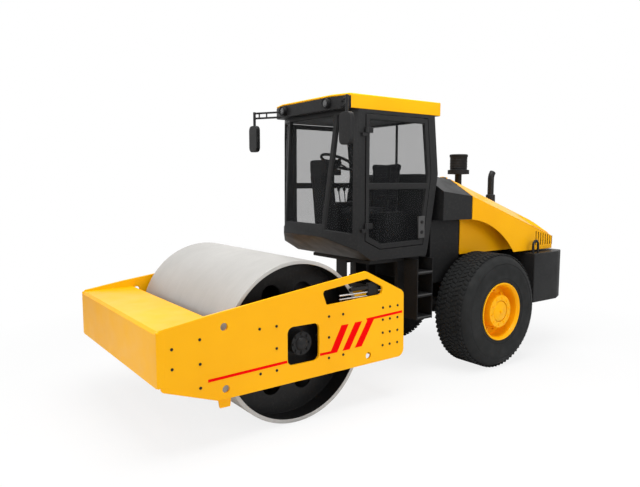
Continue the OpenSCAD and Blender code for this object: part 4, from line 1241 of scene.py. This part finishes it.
class ROLLER_OT_stage(bpy.types.Operator):
    """Builds the pale floor, the soft studio light and the camera at the photograph's view"""

    bl_idname = "roller.stage"
    bl_label = "Stage"

    white, sky, sky_strength = (1.0, 1.0, 1.0, 1.0), (0.95, 0.97, 1.0, 1.0), 0.34
    floor_size, floor_shades = 60, ((0.80, 0.80, 0.80), (0.82, 0.82, 0.82))
    # The floor turns to plain white between these distances, from this share on
    fade_start, fade_end, fade_share = 3.0, 6.0, 0.82
    # Name, place, aim, size and power
    lights = [("top_lamp", (1.5, 1.5, 8.5), (0, 0, 1), 7.0, 720.0),
              ("side_lamp", (-1.5, 9.0, 4.5), (-0.5, 0, 1.2), 6.0, 250.0),
              ("front_lamp", (9.0, 1.0, 3.6), (1, 0, 1.0), 5.0, 150.0),
              ("back_lamp", (-7.0, -5.5, 8.5), (-1, 0, 1.2), 5.0, 200.0)]
    eye, yaw, pitch, focal = (4.746, 5.701, 2.34), math.radians(-125.93), math.radians(5.9), 33.14

    def execute(self, context):
        context.scene.view_settings.view_transform = "Standard"
        self.world(context.scene)
        self.floor()
        self.lamps()
        self.camera(context.scene)
        return {"FINISHED"}

    def world(self, scene):
        """A soft sky that lights the roller and is seen as plain white."""
        scene.world = scene.world or bpy.data.worlds.new("studio")
        scene.world.use_nodes = True
        tree = Tree(scene.world.node_tree)
        tree.tree.nodes.clear()
        rays = tree.add("ShaderNodeLightPath").outputs
        seen = rays["Is Camera Ray"]
        for kind in ("Is Glossy Ray", "Is Transmission Ray"):
            seen = tree.fed("ShaderNodeMath", seen, rays[kind], operation="MAXIMUM")
        sky = tree.add("ShaderNodeBackground", {"Color": self.sky, "Strength": self.sky_strength})
        white = tree.add("ShaderNodeBackground", {"Color": self.white, "Strength": 1.0})
        mix = tree.fed("ShaderNodeMixShader", seen, sky.outputs[0], white.outputs[0])
        tree.link(mix, tree.add("ShaderNodeOutputWorld").inputs["Surface"])

    def floor(self):
        deselect()
        bpy.ops.mesh.primitive_plane_add(size=self.floor_size, location=(0, 0, -0.002))
        floor = bpy.context.object
        floor.name = "studio_floor"
        settle(floor)
        tree = Finish("studio_floor")
        tree.feed(Base_Color=tree.mix(tree.noise(0.6), *self.floor_shades))
        tree.set(Roughness=0.9, Specular_IOR_Level=0.1)
        glow = tree.add("ShaderNodeEmission", {"Strength": 1.0})
        far = tree.add("ShaderNodeVectorMath", operation="LENGTH")
        tree.link(tree.coords, far.inputs[0])
        fade = tree.span(far.outputs["Value"], self.fade_start, self.fade_end, self.fade_share, 1.0)
        seen = tree.add("ShaderNodeLightPath").outputs["Is Camera Ray"]
        share = tree.fed("ShaderNodeMath", seen, fade, operation="MULTIPLY")
        mix = tree.fed("ShaderNodeMixShader", share, tree.shader.outputs[0], glow.outputs[0])
        tree.link(mix, tree.tree.nodes["Material Output"].inputs["Surface"])
        floor.data.materials.append(tree.material)

    def lamps(self):
        for name, place, aim, size, power in self.lights:
            data = bpy.data.lights.new(name, "AREA")
            data.shape = "DISK"
            data.size = size
            data.energy = power
            lamp = linked(name, data)
            lamp.location = place
            lamp.rotation_euler = (Vector(aim) - Vector(place)).to_track_quat("-Z", "Y").to_euler()

    def camera(self, scene):
        data = bpy.data.cameras.new("photo_camera")
        data.sensor_width = 36.0
        data.lens = self.focal
        data.clip_end = 200.0
        camera = linked("photo_camera", data)
        camera.location = self.eye
        level = math.cos(self.pitch)
        look = Vector((math.cos(self.yaw) * level, math.sin(self.yaw) * level, -math.sin(self.pitch)))
        camera.rotation_euler = look.to_track_quat("-Z", "Y").to_euler()
        scene.camera = camera


STEPS = [ROLLER_OT_finishes, ROLLER_OT_rounded_shapes, ROLLER_OT_drum, ROLLER_OT_plate_bolts, ROLLER_OT_stripes,
         ROLLER_OT_tyres, ROLLER_OT_wheel_trim, ROLLER_OT_panes, ROLLER_OT_gaskets, ROLLER_OT_seat,
         ROLLER_OT_cab_trim, ROLLER_OT_hood_trim, ROLLER_OT_stacks, ROLLER_OT_step_grips,
         ROLLER_OT_lamps_and_mirrors, ROLLER_OT_frame_fittings, ROLLER_OT_stage]


class ROLLER_PT_sidebar(bpy.types.Panel):
    """Lists the roller's steps, colours and sizes"""

    bl_label = "Road roller"
    bl_idname = "ROLLER_PT_sidebar"
    bl_space_type = "VIEW_3D"
    bl_region_type = "UI"
    bl_category = "Roller"

    def draw(self, context):
        for group in (context.scene.roller_colours, context.scene.roller_sizes):
            for key in group.bl_rna.properties.keys():
                if key not in ("rna_type", "name"):
                    self.layout.prop(group, key)
        for step in STEPS:
            self.layout.operator(step.bl_idname)


CLASSES = [RollerColours, RollerSizes, *STEPS, ROLLER_PT_sidebar]


def register():
    for cls in CLASSES:
        bpy.utils.register_class(cls)
    bpy.types.Scene.roller_colours = PointerProperty(type=RollerColours)
    bpy.types.Scene.roller_sizes = PointerProperty(type=RollerSizes)


def unregister():
    del bpy.types.Scene.roller_sizes
    del bpy.types.Scene.roller_colours
    for cls in reversed(CLASSES):
        bpy.utils.unregister_class(cls)


def main():
    register()
    for step in STEPS:
        getattr(bpy.ops.roller, step.bl_idname.split(".")[1])()
    deselect()


if __name__ == "__main__":
    main()
